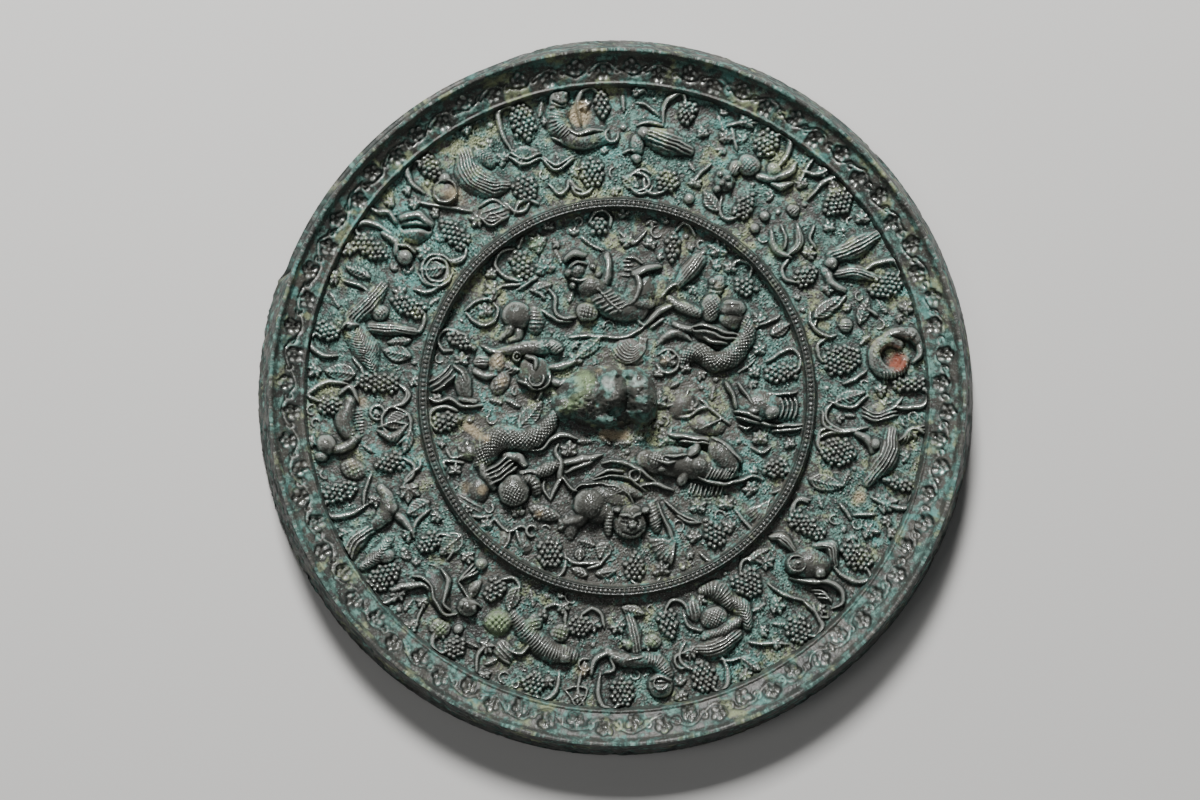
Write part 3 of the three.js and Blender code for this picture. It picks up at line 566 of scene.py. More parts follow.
# Lobed leaves: place, size and turn
INNER_SPRIGS = [
    ((-24, 43), 8.4, 20), ((-26, 51), 7.5, 60), ((-41, 35), 8, 50), ((-42, 41), 5, 0), ((-44, 28.6), 6, 10),
    ((-23, 57), 5, 0), ((4, 52), 6, 30), ((11, 51), 5, -20), ((34, 49), 8, 10), ((38, 43), 5, 0),
    ((17, 12), 7, 0), ((23, 9.6), 4.6, 20), ((14, 7.6), 4, 0), ((48, 25.6), 6.4, 40), ((48, 15.6), 5, 0),
    ((16.6, -14.4), 8, 20), ((14, -2), 8, 0), ((48, -14), 7, 0), ((45.6, -25), 4, 0), ((45, -31), 6, 30),
    ((36.6, -36), 6.4, 0), ((38, -43.6), 6, 60), ((27, -37), 7, 0), ((26, -47), 6, 30), ((15, -58), 7, 0),
    ((-43.4, -42.6), 5.4, 0), ((-33, -38.4), 6, 20), ((-25.6, -39), 5.6, 60), ((-17, -43), 7, 0),
    ((-54, -24.6), 5.6, 0), ((-50, -19), 8, 0), ((-52, 12), 6, 0), ((-16, -18), 7, 0), ((-14, 12), 6, 30),
    ((25, -4), 5, 0), ((58, -16), 5, 20), ((-46, 46), 5, 0), ((-60, 0), 4, 0), ((46, 8), 5, 0),
]

# Pointed leaves: place, width, length and the way the tip points
INNER_BLADES = [
    ((-9.6, 16.5), 4.6, 11, 130), ((-25, 36.6), 5, 7, -70), ((-29, -6), 6.6, 12, -42),
    ((30.4, -9.4), 4, 9, 100), ((55, 23), 4.6, 8, -60), ((-12.4, -52.6), 3.6, 4.6, 180),
    ((-4.4, -51), 6, 6.4, 150),
    ((-12.6, -58.2), 3.4, 6, 70), ((-3.6, -58.4), 4, 7, -80), ((-36.6, 10), 4, 8, 80),
]


def inner_field():
    for vine in INNER_VINES:
        stroke(vine, 1.3, 1.8)
    for place, size, turn in INNER_SPRIGS:
        lobed_leaf(place, size, turn)
    for place, width, length, turn in INNER_BLADES:
        leaf(place, width, length, turn)
    stroke([(-51, 28.8), (-47, 32), (-42, 33)], 1.2, 2)
    stroke([(-50.6, 28), (-47, 25), (-43.5, 24.2), (-40.6, 26), (-39.8, 29), (-41, 31.6)], 1.3, 2.4)
    curl((-28.6, -44.6), 3.4, 0)
    curl((17, 12), 7.6, 200)
    lump((28.8, 48.2), 2.2, 2.2, 2)
    stroke([(9.6, 24), (14, 28.4), (19.6, 31.6)], [1.4, 2.2, 1.6], [2.4, 3, 2.6])
    lump((30.4, -9.4), 7, 12, 2.6, 80, fall=0.7)
    comb([(29, -9.8), (32, -8.8), (34.4, -7.6)], 3.4, 6, 30, 0.6, 0.9)
    lump((21.6, -2.6), 10, 7.4, 2.6, 60, fall=0.8)
    lump((-49, -18.6), 6.6, 6, 2.6, 0, fall=0.7)
    lump((-46.4, -31), 10, 8, 2.8, 60, fall=0.7)
    lump((-50, -36), 8, 12, 2, 60, "stripes", 1.6, 0.5)
    lump((-15, -43), 10, 5, 2.4, 80, fall=0.7)
    lump((-24, -38.6), 5, 11, 3, 70, "scales", 1.7, 0.5)
    stroke([(14, 18), (17, 21), (21, 21.6), (25, 19)], [2, 3, 3, 1.4], [1.6, 2.4, 2.4, 1.4])
    stroke([(-37.6, -46), (-38, -49.6)], [3.4, 3], 1.8)
    stroke([(-31.6, -47), (-30.4, -50.4)], [3, 3.6], 1.8)
    lump((4.6, 15.4), 12, 9, 1.8, -20, fall=0.5)
    for step in range(7):
        share = 1 - 0.1 * step
        rib = ((-8.5, -4.9), (-6, -8.1), (-2, -8.9), (2.1, -5.9), (3.5, -0.9))
        etch([(6.5 + share * u, 20.5 + share * v) for u, v in rib], 0.7, 0.9)
    fan((51.4, -34), 10, 140, 1.7, 24, 6)
    fan((20, -47.6), 9.4, 128, 3.2, 42, 7)
    for place, width, length, turn, vine in INNER_BUNCHES:
        stroke(vine, 1.4, 2)
        bunch(place, width, length, turn, 3.8, 1.7)
    for beast in (winged_lion, curled_beast, plump_bird, ribbed_lion, front_lion, scaly_serpent,
                  worn_beast, left_beast):
        beast()


# Bunches along the rim: bearing, distance, width, length, and the side that the vine loops to
RIM_BUNCHES = [
    (108.9, 96.7, 8, 13, 1), (93, 98, 5, 10, 1), (76.1, 97.9, 6, 8, 1), (59.6, 98.4, 8, 10, -1),
    (41.5, 98.5, 9, 11, 1), (22.6, 97.4, 8, 12, 1), (2.6, 97.9, 5.6, 11, -1), (-17, 98.5, 4.6, 12, -1),
    (-33.6, 96, 7.5, 12, -1), (-52, 98.3, 8, 10, 1), (-72.7, 97.4, 7.6, 11, 1), (-89, 98.3, 8, 10, -1),
    (-106.3, 98.8, 8, 8, 1), (-123.1, 99, 8, 8, -1), (-142.4, 97.9, 8, 12, 1), (-161.1, 97.4, 7, 12, 1),
    (-178.4, 95.5, 6, 9, -1), (-192.8, 99, 6, 8, 1), (-211.1, 96, 6.5, 13, -1), (-230.9, 99, 7, 9, 1),
]

# Bunches along the ring: bearing, distance, width and length
RING_BUNCHES = [
    (113.8, 76.3, 8.5, 9), (96.4, 75.9, 8, 10.5), (76.9, 74.4, 8.3, 7.7), (56.2, 77.3, 7, 10),
    (32.7, 75.4, 6.6, 8.6), (9.6, 76.3, 10, 13), (-13.8, 76.3, 9, 12.4), (-34.1, 76.8, 6.4, 13.9),
    (-54.9, 76.3, 10, 10), (-77.3, 77.8, 7, 10), (-99.3, 77.3, 7.4, 7.5), (-108.9, 77, 4, 5),
    (-122.5, 76.3, 7.2, 8.6), (-142.4, 79.2, 7, 8.6), (-164, 79.2, 6.2, 10.5), (-183.5, 80.2, 6.7, 15),
    (-203.5, 76.3, 6.8, 13), (-225, 77.3, 6.5, 13),
]


def outer_bunches():
    for bearing, distance, width, length, side in RIM_BUNCHES:
        out = distance + length / 2
        near = bearing + side * 0.6
        far = bearing + side * 4.7
        arc([(near, out - 1), (bearing + side * 2, min(out + 2.6, 104)), (far - side * 0.9, out - 0.4),
             (far, distance), (far - side * 0.3, distance - length / 2 - 1)], [1.4, 1.8, 2, 1.6, 1.2], 2.2)
        bunch(polar(bearing, distance), width, length, bearing + 90, 3.9)
    for bearing, distance, width, length in RING_BUNCHES:
        low = distance - length / 2
        arc([(bearing, low), (bearing + 2.4, max(low - 2.4, 69)), (bearing + 5, max(low - 1, 69.6)),
             (bearing + 6.2, low + 3.4)], 1.4, 1.9)
        bunch(polar(bearing, distance), width, length, bearing - 90, 3.7)


def top_beasts():
    """The beast and the bird over the ring's top."""
    lump((-19.6, 99.2), 6.6, 7, 5.2)
    lump((-20.6, 101.6), 2, 2, 5)
    lump((-17.4, 100.8), 1.8, 2, 5)
    etch([(-21.6, 98.6), (-19, 97.6), (-16.8, 98.4)], 0.9, -1.2)
    lump((-21.6, 96.4), 2.6, 2, 4.2)
    stroke([(-19.6, 96), (-20, 91.6), (-16.6, 87.4)], [7, 7.4, 5], [4, 4.2, 4.2], "ribs", 0.95, 0.5)
    stroke([(-17, 86.8), (-11.6, 85.6), (-5, 87)], [5, 5.4, 4.6], [4.2, 4, 3.6], fall=0.6)
    stroke([(-17, 90), (-13.5, 87.6), (-9, 88.8), (-4.6, 89)], [1.2, 2, 2.2, 1.2], [4.4, 5, 5, 4])
    curl((-1.8, 87.6), 4.4, 120, 3, 1.2, 250)
    stroke([(-21.6, 86.6), (-17, 84.6)], 1, 2.2)
    for drop in (0, 1.7):
        stroke([(-36, 81.6 - drop), (-31, 79.6 - drop), (-25.6, 81.6 - drop)], 1.2, 2.6)
        stroke([(-25, 79.6 + drop / 2), (-20.4, 76 + drop), (-14.4, 79.6 + drop / 2)], 1.2, 2.8)
    lump((-30.6, 82), 9, 4, 2, 0)
    lump((-19.8, 79.4), 8, 4.6, 1.8, 0)
    stroke([(8.6, 88.2), (15.6, 85.8), (24.4, 82.4)], [4.4, 8.2, 3], [4.2, 5, 3.6], "stripes", 1.35, 0.75)
    lump((9, 88), 5, 5, 4.8)
    lump((6.8, 84.4), 4.6, 7, 3.6, 10)
    lump((6.4, 79.8), 3.4, 3, 3.6)
    stroke([(1.9, 81.6), (4.4, 82.6), (6.4, 81.6)], 1, 2.6)
    stroke([(6.4, 90.6), (10.4, 92), (15.4, 91)], 1.2, 2.4)
    stroke([(5.4, 101), (7.4, 104), (9.8, 101.6)], 1, 1.8)
    stroke([(7, 98.4), (10, 97.6), (14, 94)], 1.1, 2)


def upper_right_beasts():
    """The fruit, the flower and the birds at the upper right."""
    lump((44, 77.6), 8, 7.4, 4.2, 0, "scales", 1.4, 0.4)
    for x, y in ((34.4, 74.6), (37, 73.4), (35, 71.6), (33.6, 69.6), (37.4, 71)):
        lump((x, y), 2.6, 2.4, 4.4)
    lump((36, 72.6), 7, 8, 2.8)
    lump((39.4, 76.6), 6, 4.4, 3.6, 60, "ribs", 1, 0.4)
    lump((52.5, 76), 5, 5, 3.4)
    stroke([(47.4, 74), (52, 73.2), (57, 75), (60.4, 78.6)], [2.4, 3, 2.6, 1.4], 3)
    stroke([(51.6, 71.4), (55, 70.6), (59, 71.4)], [1.6, 2.6, 1.4], 3.4)
    stroke([(62, 76), (67, 74.6), (72, 76.6)], [1.2, 1.6, 1.1], 2.6)
    lump((59, 62.6), 4.4, 4.6, 3, 40, "ribs", 0.95, 0.5)
    stroke([(51.6, 56), (52.6, 50), (58.4, 46.6)], [1.4, 2.6, 1.6], 3)
    stroke([(60.4, 58), (61, 51.6), (57, 47.4)], [1.6, 3, 1.6], 3, "stripes", 1, 0.4)
    stroke([(55.4, 57.6), (56.4, 53), (56, 49.6)], 1.1, 2.6)
    lump((71.6, 45), 4.4, 4.6, 4.6)
    stroke([(72, 47.4), (79, 50), (87, 54.4)], [4, 7.4, 3], [3.4, 4.2, 2.6], "stripes", 1.15, 0.6)
    stroke([(73.6, 41.4), (80, 42), (87.4, 39.6)], [2.6, 4.8, 2], [3, 3.8, 2.6], "stripes", 1.05, 0.5)
    stroke([(70.4, 42), (72, 38), (76, 36)], [3.4, 3, 2], 3.4)
    stroke([(66.4, 50), (64.6, 53.6), (66, 57.6)], 1.3, 2.4)


def right_beasts():
    """The beast curled into a ring and the birds at the right."""
    lump((76.6, 24), 4.6, 4.8, 3.2, 0, "ribs", 1, 0.4)
    circle = [(91.4 + 5.2 * math.cos(t), 13.6 + 5.4 * math.sin(t)) for t in np.linspace(1, 6, 12)]
    stroke(circle, [3.6, 4.2, 4.4, 4, 3], [4, 4.4, 4.4, 4, 3.2], fall=0.6)
    stroke([(88.6, 19), (93, 21.4), (98.6, 21), (101, 18)], [2.6, 4, 4.4, 3], [3.6, 4.6, 5, 4])
    lump((95, 22.4), 3, 2.8, 5.2)
    lump((98.8, 20.6), 2.8, 2.6, 5.8)
    stroke([(101, 18), (101.4, 14.4), (99, 11.4)], [2.4, 2.2, 1.6], 3.4)
    comb([(89.4, 6.4), (94, 6.8), (97.4, 9.4)], 3.4, 8, 100, 0.6, 1.2)
    stroke([(66.7, 26), (65.9, 23), (70.3, 20.4), (73.4, 20.8)], 1.3, 2.4)
    stroke([(69, -4.6), (69.6, -9.4), (76, -11.6), (84, -10)], 1.3, 2.3)
    for step in range(3):
        stroke([(82.4, -3.4 - 1.4 * step), (87, -5.4 - 1.1 * step), (94, -3 - 1.4 * step)], 1.1, 2.5)
    lump((88, -4), 11, 5, 1.8, 10)
    lump((86.2, -15.6), 4.4, 4.6, 5)
    stroke([(92, -11.6), (90.6, -19), (84, -28.4)], [4, 8, 3], [3.4, 4.6, 3], "stripes", 1.1, 0.6)
    stroke([(80, -12), (83.6, -14), (86, -18)], [2, 3, 2.4], 3.6)
    for step in range(3):
        stroke([(94.6 + 1.2 * step, -14.6), (98 + 0.6 * step, -11 + 0.4 * step), (103, -9.4 - 1.4 * step)],
               1.1, 2.8)


def lower_right_beasts():
    """The round-headed beast and the curved one at the lower right."""
    lump((64, -55.6), 17, 11, 4.8, 0, fall=0.6)
    lump((60, -56), 7.4, 7, 6.4)
    lump((60.2, -55), 3.4, 2.6, 7.4)
    curl((60, -55.4), 5.6, 30, 6.8, 0.8, 350)
    lump((67.6, -58.4), 5, 5, 6)
    stroke([(66.6, -49.6), (71.4, -50), (72.6, -56)], [2.6, 4.6, 2.6], [4, 4.8, 3.6], "stripes", 1, 0.5)
    stroke([(51, -46.6), (55, -47), (59, -51)], [1.6, 4, 2.4], [2.6, 3.6, 3], "stripes", 1, 0.5)
    stroke([(58, -60.6), (64, -61.6), (71, -61.8), (75.2, -65), (75.2, -69), (72, -70.4)],
           [1.2, 1.8, 2, 2, 1.8, 1.2], [3.6, 4, 4, 3.8, 3.4, 2.6])
    for step in range(3):
        stroke([(65 + step, -64.4 - 1.2 * step), (69 + step, -65 - 1.2 * step), (72, -68.6)], 0.9, 2.6)
    stroke([(50.6, -62.4), (56, -66), (63, -68)], [1, 1.4, 1], 2.4)
    stroke([(28.6, -64.6), (33.6, -64.4), (38, -69.4)], [3, 6.6, 4], [3, 4, 3.6], "ribs", 1, 0.55)
    stroke([(37, -67), (41.6, -70.4), (43.6, -76)], [3, 6, 3.4], [3.4, 4.2, 3.4], "slant", 1.1, 0.6)
    lump((32.6, -73.8), 9.6, 8, 4.2, 20, "scales", 1.3, 0.75)
    stroke([(41.4, -74), (36, -77.6), (29.6, -80)], [3.4, 5, 3], [3.8, 4.4, 3], "scales", 1.2, 0.4)
    stroke([(27, -84), (33, -83.4), (39.6, -79)], [3, 7.6, 4.6], [3, 4.2, 3.8], "stripes", 1.05, 0.6)
    stroke([(34, -87.6), (38, -88), (41.4, -87)], 1.1, 2.2)
    lump((26, -71), 6, 8, 2.4, 10, "stripes", 1.3, 0.4)


def bottom_beasts():
    """The beasts and crusted fruit along the bottom."""
    lump((14.4, -96.2), 8.6, 8.4, 5.2)
    stroke([(11, -94.4), (14.4, -92.8), (17.8, -94.4)], [1.8, 2, 1.8], 5.8)
    curl((14.4, -95.4), 4.4, 30, 6.2, 0.9, 350)
    etch([(12.6, -95.4), (16.2, -95.4)], 0.8, -1.4)
    stroke([(9.4, -87.4), (13.6, -88.4), (16.4, -92.4)], [4.6, 5.4, 4.4], [4.2, 4.6, 4.4], "ribs", 0.95, 0.5)
    stroke([(-3.4, -84.8), (2, -87.6), (9, -88)], [2.6, 4.6, 4.8], [3, 4.2, 4.4])
    stroke([(3, -88), (5.6, -87), (8.6, -86.6)], [1.2, 1.8, 1.2], 5.2)
    stroke([(-3, -85), (-7.2, -87.6), (-8.8, -92.6)], [2.2, 2.2, 1.4], 3)
    stroke([(-2.4, -86.4), (-1, -90.6), (-4, -92)], 1.5, 2.6)
    stroke([(6.6, -84.2), (5.6, -78.6), (4, -72.8)], [4, 4.4, 2.4], [3.4, 3.6, 2.4], "stripes", 1.1, 0.5)
    lump((4, -82.4), 4, 3.6, 2.8)
    lump((11.6, -81.6), 6.6, 5, 2.6, 0, "scales", 1.7, 0.6)
    stroke([(-17.2, -97.6), (-13.6, -96.6), (-10, -97.6), (-13.4, -103), (-17.2, -97.8)], 0.9, 1.8)
    curl((-10.6, -89), 4.2, 60, 2.4, 1, 320)
    stroke([(-34.4, -73), (-29, -79.4), (-22.4, -84.6), (-15.4, -86.2)], [4, 6.6, 7.4, 5], [3, 4, 4.6, 4],
           "ribs", 1, 0.55)
    lump((-17.4, -86.6), 5.4, 5, 4.8)
    lump((-28, -76), 9, 6, 3.2, 60, "scales", 1.8, 0.7)
    lump((-19, -78.6), 8, 6, 3, 30, "scales", 1.8, 0.7)
    lump((-39.6, -74.8), 10, 8, 3.4, 0, "scales", 2, 0.8)
    curl((-33, -82), 7, 180, 2.8, 1.2, 200)
    lump((-37.6, -84.6), 7, 8, 2.4, 40, "stripes", 1.4, 0.5)
    lump((-50, -69.8), 7.4, 7, 5)
    for x, y in ((-52, -69), (-50, -69.6), (-47.8, -70.4)):
        lump((x, y), 2.2, 2.8, 5.8)
    lump((-60, -64.6), 7, 16, 3, 22, fall=0.7)
    stroke([(-68, -59.6), (-65, -60), (-62, -63), (-61, -66.6), (-59, -71), (-56.6, -72.6), (-53.6, -72.4)],
           1.3, [3, 4.4, 4.6, 4.4, 4.4, 4, 3])
    stroke([(-58.4, -57.4), (-56.4, -61), (-57, -65), (-58, -68.6), (-55.4, -71.4)],
           [1.2, 2, 2, 1.6, 1.2], 4.2)
    stroke([(-74.4, -64), (-70, -63), (-65, -62.4), (-62, -64.6)],
           [2.8, 2.8, 2, 1.6], 3.4, "scales", 1.2, 0.4)
    stroke([(-53, -61.4), (-50, -66), (-45.4, -70)], 1, 3)
    for step in range(3):
        stroke([(-53 + 1.3 * step, -61.4 + 0.6 * step), (-48 + 0.8 * step, -55.6 - 1.2 * step)], 1.1, 3)
    lump((-45.4, -55.6), 4.4, 4.2, 2.8)
    lump((-59, -77), 7.6, 6.6, 2.8, 0, "scales", 1.9, 0.7)
    lump((-47.4, -63.6), 6.4, 3.4, 2.6, 60)


def left_beasts():
    """The beasts and birds at the left."""
    stroke([(-89, -1.6), (-91, -8), (-88.6, -13.4)], [3.6, 6, 4.4], [3.4, 4.6, 4.2])
    comb([(-86.4, -4.4), (-86, -9), (-86.6, -13)], 3, 9, 10, 0.6, 1)
    stroke([(-86.8, -13.4), (-90.6, -16.6), (-94, -17.6)], [3, 3.6, 3], 4)
    lump((-97, -16), 7, 7, 5.4)
    lump((-98.6, -19.6), 4.6, 4, 3.6)
    stroke([(-92.6, 1.2), (-89, 3.2), (-86.2, -1.4)], [1.4, 2, 1.4], 2.6)
    lump((-88, -24), 6.6, 9, 2.6, 70, "scales", 1.9, 0.6)
    stroke([(-79.6, -11.4), (-74.6, -13.4), (-69.8, -9)], [1.6, 3.2, 1.4], 3.2, "slant", 1, 0.5)
    stroke([(-79.4, -10), (-75, -8.4), (-70, -9)], 1, 2.8)
    stroke([(-75.4, -3), (-69.6, -6), (-69.4, -12), (-73.6, -15.6)], 1.2, 2.3)
    stroke([(-78.4, 36.8), (-83, 31.4), (-88.4, 26)], [4, 8, 5], [3, 4, 3.4], "stripes", 1.1, 0.6)
    stroke([(-81.6, 23.2), (-75, 22.8), (-67.6, 22)], [4, 4.4, 2.6], 3.6, "stripes", 1, 0.55)
    stroke([(-87.6, 22.4), (-83.4, 15), (-81.4, 9)], [7, 8.6, 3], [3.6, 4, 2.6], "slant", 1.05, 0.6)
    lump((-79, 28), 6, 5.6, 4, 0, "scales", 1.5, 0.5)
    lump((-88.6, 24.2), 5, 4, 4.4)
    stroke([(-92, 23), (-90, 24.6), (-86, 24.2)], 1.4, 4.6)
    lump((-76, -37), 6, 6, 4.6)
    stroke([(-78.4, -30.6), (-76.6, -34), (-77, -38.6), (-81, -43)],
           [3, 5, 5.4, 3], [3.4, 4.2, 4, 3], fall=0.6)
    stroke([(-73, -39.6), (-70, -42.4), (-67.6, -46)], [3, 2.6, 1.8], 3.2)
    stroke([(-82, -44), (-87.6, -48), (-90, -54)], [3, 6.4, 4], [3.2, 3.8, 3], "stripes", 1.3, 0.55)
    lump((-77, -53), 6, 5, 3.6)
    stroke([(-76.6, -48), (-79, -52), (-84.6, -56.4)], [3.4, 5, 3], 3.6, "slant", 1.1, 0.5)


def upper_left_beasts():
    """The striped beast, the rosette and the coiled vine at the upper left."""
    stroke([(-50.6, 80.6), (-48.4, 74), (-42, 70.6), (-37, 71)], [6, 9.6, 8.6, 3], [3, 4.2, 4.2, 2.6],
           "stripes", 1.05, 0.6)
    lump((-44, 80), 6, 9, 3, 60, "slant", 1.1, 0.5)
    lump((-57.4, 68.4), 8.6, 8.6, 3.8)
    curl((-57.4, 68.6), 7.4, 200, 4.8, 1, 300)
    lump((-57.6, 72.8), 4.4, 4, 4.6, 0, "ribs", 1, 0.4)
    lump((-67, 56), 11, 9.6, 3.6, 10, fall=0.8)
    stroke([(-71.6, 59.6), (-66.6, 60.6), (-62.4, 57.6)], [2.2, 3, 2.2], 4.4)
    etch([(-71, 56.4), (-67.4, 56.8), (-63.2, 56)], 2.2, -3)
    stroke([(-80.4, 62), (-76.4, 61.6), (-73.4, 58)], [1.2, 1.8, 1.6], 3)
    lump((-70.8, 46.6), 5.4, 5.4, 5.4)
    stroke([(-73.6, 50.6), (-70, 50.4), (-67.4, 48)], 1.3, 4)
    stroke([(-78, 54.6), (-74, 51.6), (-73.4, 47.6)], [2, 2.6, 2], 3.4)
    for size in (7.6, 10.6):
        curl((-60, 42.4), size, 20, 2.4, 1.1, 330)
    stroke([(-46, 63.6), (-41.4, 66), (-36, 62.6)], 1.3, 2.6)
    lump((-41, 61.4), 12, 8, 2.2, 20, "ribs", 1.5, 0.5)
    for step in range(4):
        drop = 1.3 * step
        left = (-46.6 + drop / 2, 60.4 - drop / 3)
        right = (-36 - drop / 2, 60.6 - drop / 3)
        stroke([left, (-42, 57.4 + drop), right], 0.95, 2.9)


# Strokes of vine and leaf in the outer field, by bearing and distance
OUTER_VINES = [
    [(108, 75), (106.4, 71.4), (105, 70.6), (103.4, 72), (102.5, 74), (101, 71), (99.3, 69.7)],
    [(88, 72), (86, 74.6), (83.4, 75), (81.4, 72.4), (83.4, 69.6), (86, 69.8)],
    [(68, 98), (66, 100.6), (63, 103)], [(67, 98), (65.6, 95), (64, 92)],
    [(50.6, 104), (50.2, 98), (49.4, 93)], [(20.2, 86), (19.2, 89), (17.4, 91.6)],
    [(24, 70.6), (21, 69.4), (18, 70.8), (16, 74)], [(0, 95.5), (-2, 93), (-3.4, 90), (-3.8, 86)],
    [(0.4, 84), (-1.2, 81.4), (-2.3, 79), (-2, 74.6), (-1, 71)],
    [(-7.4, 81), (-8.3, 77), (-7.6, 73), (-6.1, 70.6), (-3.4, 70.4), (-1.3, 72.5)],
    [(-8.7, 75), (-10, 71), (-12, 68.9), (-14, 69.6), (-15.4, 72)],
    [(-24.5, 94.6), (-25.4, 91.6), (-26.5, 88.6)], [(-27.6, 88.6), (-26.4, 85.6), (-25.5, 82.6)],
    [(-28.7, 73), (-29.2, 70.4), (-30.6, 69.2), (-33.8, 70.5)],
    [(-55.3, 100.4), (-57, 98), (-59.4, 95.6), (-61.7, 93)], [(-62, 77), (-63.2, 73), (-65, 70)],
    [(-74, 95), (-76, 92), (-76.4, 88.6), (-74.4, 85)], [(-96, 104), (-97.6, 98), (-97, 88)],
    [(-112, 96), (-114.6, 94.6), (-115.2, 91)], [(-117, 103), (-118.4, 98), (-118, 92)],
    [(-131, 104), (-132, 99), (-133.6, 94)], [(-157, 92), (-160, 89), (-162.6, 86)],
    [(-158.5, 76.5), (-159.8, 73), (-160.6, 70), (-162.4, 69)],
    [(-177.4, 75), (-178.4, 71), (-180.5, 69.4), (-182.9, 71)],
    [(-182, 88), (-183.6, 85.6), (-184.8, 84.8), (-186.4, 85.8), (-188.5, 89)],
    [(-196.7, 73.5), (-198, 70.4), (-200.5, 69.2)], [(-203, 99), (-203.4, 94), (-203, 89)],
    [(-208, 77), (-209, 72.6), (-212, 69.8), (-215.4, 69.2), (-218, 72)],
    [(-217.4, 104), (-218, 100), (-219.6, 95.5)], [(-219, 73), (-220.6, 70.2), (-223, 69.4)],
    [(-224.4, 93), (-226, 89), (-228, 85.5), (-230, 82), (-232, 79)],
    [(-240.8, 70), (-243, 72.6), (-246, 72), (-248, 69.6)], [(-240.4, 96), (-240.8, 92)],
    [(6, 84), (4.4, 80), (3.4, 76)], [(-46.2, 102), (-47.4, 99), (-46.6, 95.6)],
    [(-70, 83), (-72.6, 80), (-72.8, 75)], [(-146, 82), (-148.4, 78), (-149, 73)],
    [(24, 84), (22.6, 80), (22, 76)], [(68, 84), (69.6, 80), (70.4, 75)], [(88.6, 96), (89, 101)],
]

# Lobed leaves in the outer field: bearing, distance, size
OUTER_SPRIGS = [
    (111.5, 86, 8), (117, 94, 6), (96, 98, 5), (86, 102.4, 5), (70, 76, 5), (64.9, 101.5, 6.6),
    (67, 94, 6), (47.5, 101.5, 5), (49, 94.5, 5), (36.7, 80, 6), (36, 101.6, 6), (27, 79, 5),
    (17.3, 79.7, 5), (17, 101, 6),
    (-1.6, 89.3, 6), (-7, 99.3, 5), (-21.7, 96, 9), (-27.9, 95, 7), (-26.4, 102, 5), (-46.2, 98, 5),
    (-52.7, 87.4, 7), (-57.2, 97.9, 5), (-58.1, 92.1, 4.6), (-65.4, 102, 6), (-67.8, 73, 4.6), (-74, 87.8, 6),
    (-78, 102, 6), (-83.4, 83, 5.6), (-87.6, 82, 5), (-97.7, 100.7, 5.4), (-103.8, 97.4, 5), (-113.5, 92, 7),
    (-117.7, 93.6, 6), (-115.6, 102.4, 5), (-127.3, 97.4, 7), (-133.4, 72.6, 6), (-132.4, 102.4, 6),
    (-133.7, 94, 5), (-138.2, 98, 6), (-146.9, 82.6, 6), (-146.7, 72, 5), (-156.2, 75.9, 8.6),
    (-157, 87.3, 6),
    (-153.6, 101, 6), (-165.6, 90.7, 6), (-172, 102.6, 5), (-176.3, 80.2, 3.4), (-185.4, 101, 6),
    (-203, 102, 6), (-205.8, 80, 6), (-209.1, 102, 6), (-217, 80, 7), (-223.7, 93, 5), (-220.8, 99.6, 4),
    (-224.7, 98, 4), (-225.6, 86, 4), (-232, 75, 6), (-240.7, 102, 5), (-244.4, 87.8, 6), (38.6, 91, 5),
    (-96, 76, 6), (-90, 76, 6), (-104.6, 72, 5), (104.4, 95, 4), (72, 92.6, 5), (1.4, 88, 5), (-48, 74, 7),
]

# Pointed leaves in the outer field: bearing, distance, width, length and turn
OUTER_BLADES = [
    (23.1, 76.6, 5.5, 11.5, 15), (19.3, 87.6, 4.4, 9.5, 50), (0, 78, 5, 11, 20),
    (-22.3, 75.5, 6, 12, 10), (-63.4, 99.5, 4.4, 8, 30),
    (-96.7, 91.6, 2.8, 5.6, 0), (-117.4, 75.8, 5, 9, 10), (-126.7, 80.2, 4, 7, 20), (-138.5, 74, 7.5, 10, 0),
    (-151, 75.9, 6, 9, 0), (-173.9, 74, 7, 9, 20), (-185.1, 92.6, 6.5, 10.5, 0), (-191.2, 75, 5.9, 9.6, 0),
    (-194.4, 75, 3.4, 8, 20), (-205.8, 96, 3.8, 9, 0), (-214.6, 75, 6, 9, 40),
    (104.1, 82, 3.4, 5, 0), (86.6, 72, 5, 7, 60), (64.4, 72.6, 5, 8, 60), (44, 101, 4, 7, 70),
    (-48, 70.8, 4, 8, 80), (-85.6, 71.6, 4, 8, 70), (-106, 104, 3, 6, 90), (-168, 71.6, 4, 8, 60),
]


# Rings of vine in the outer field: bearing, distance, size and turn
OUTER_CURLS = [(-214.6, 75, 10, 200), (-173.9, 74, 10, 90), (83.5, 72.5, 8, 40), (-76, 90.6, 5, 0),
               (-176.3, 80.2, 4.4, 0)]

# Round buds in the outer field: bearing and distance
OUTER_KNOTS = [(50.9, 78.2), (50.8, 73), (55.6, 91.6), (-82.3, 82.6), (-124.4, 93.6), (70, 70.6)]


def outer_field():
    for vine in OUTER_VINES:
        arc(vine, 1.35, 2)
    for bearing, distance, size in OUTER_SPRIGS:
        lobed_leaf(polar(bearing, distance), size, bearing - 90 + random.uniform(0, 72), 2.2)
    for bearing, distance, width, length, turn in OUTER_BLADES:
        leaf(polar(bearing, distance), width, length, bearing - 90 + turn, 2.4)
    for bearing, distance, size, turn in OUTER_CURLS:
        curl(polar(bearing, distance), size, turn)
    for bearing, distance in OUTER_KNOTS:
        lump(polar(bearing, distance), 3.6, 3.6, 2.8, bearing - 90)
    outer_bunches()
    for beasts in (top_beasts, upper_right_beasts, right_beasts, lower_right_beasts, bottom_beasts,
                   left_beasts, upper_left_beasts):
        beasts()


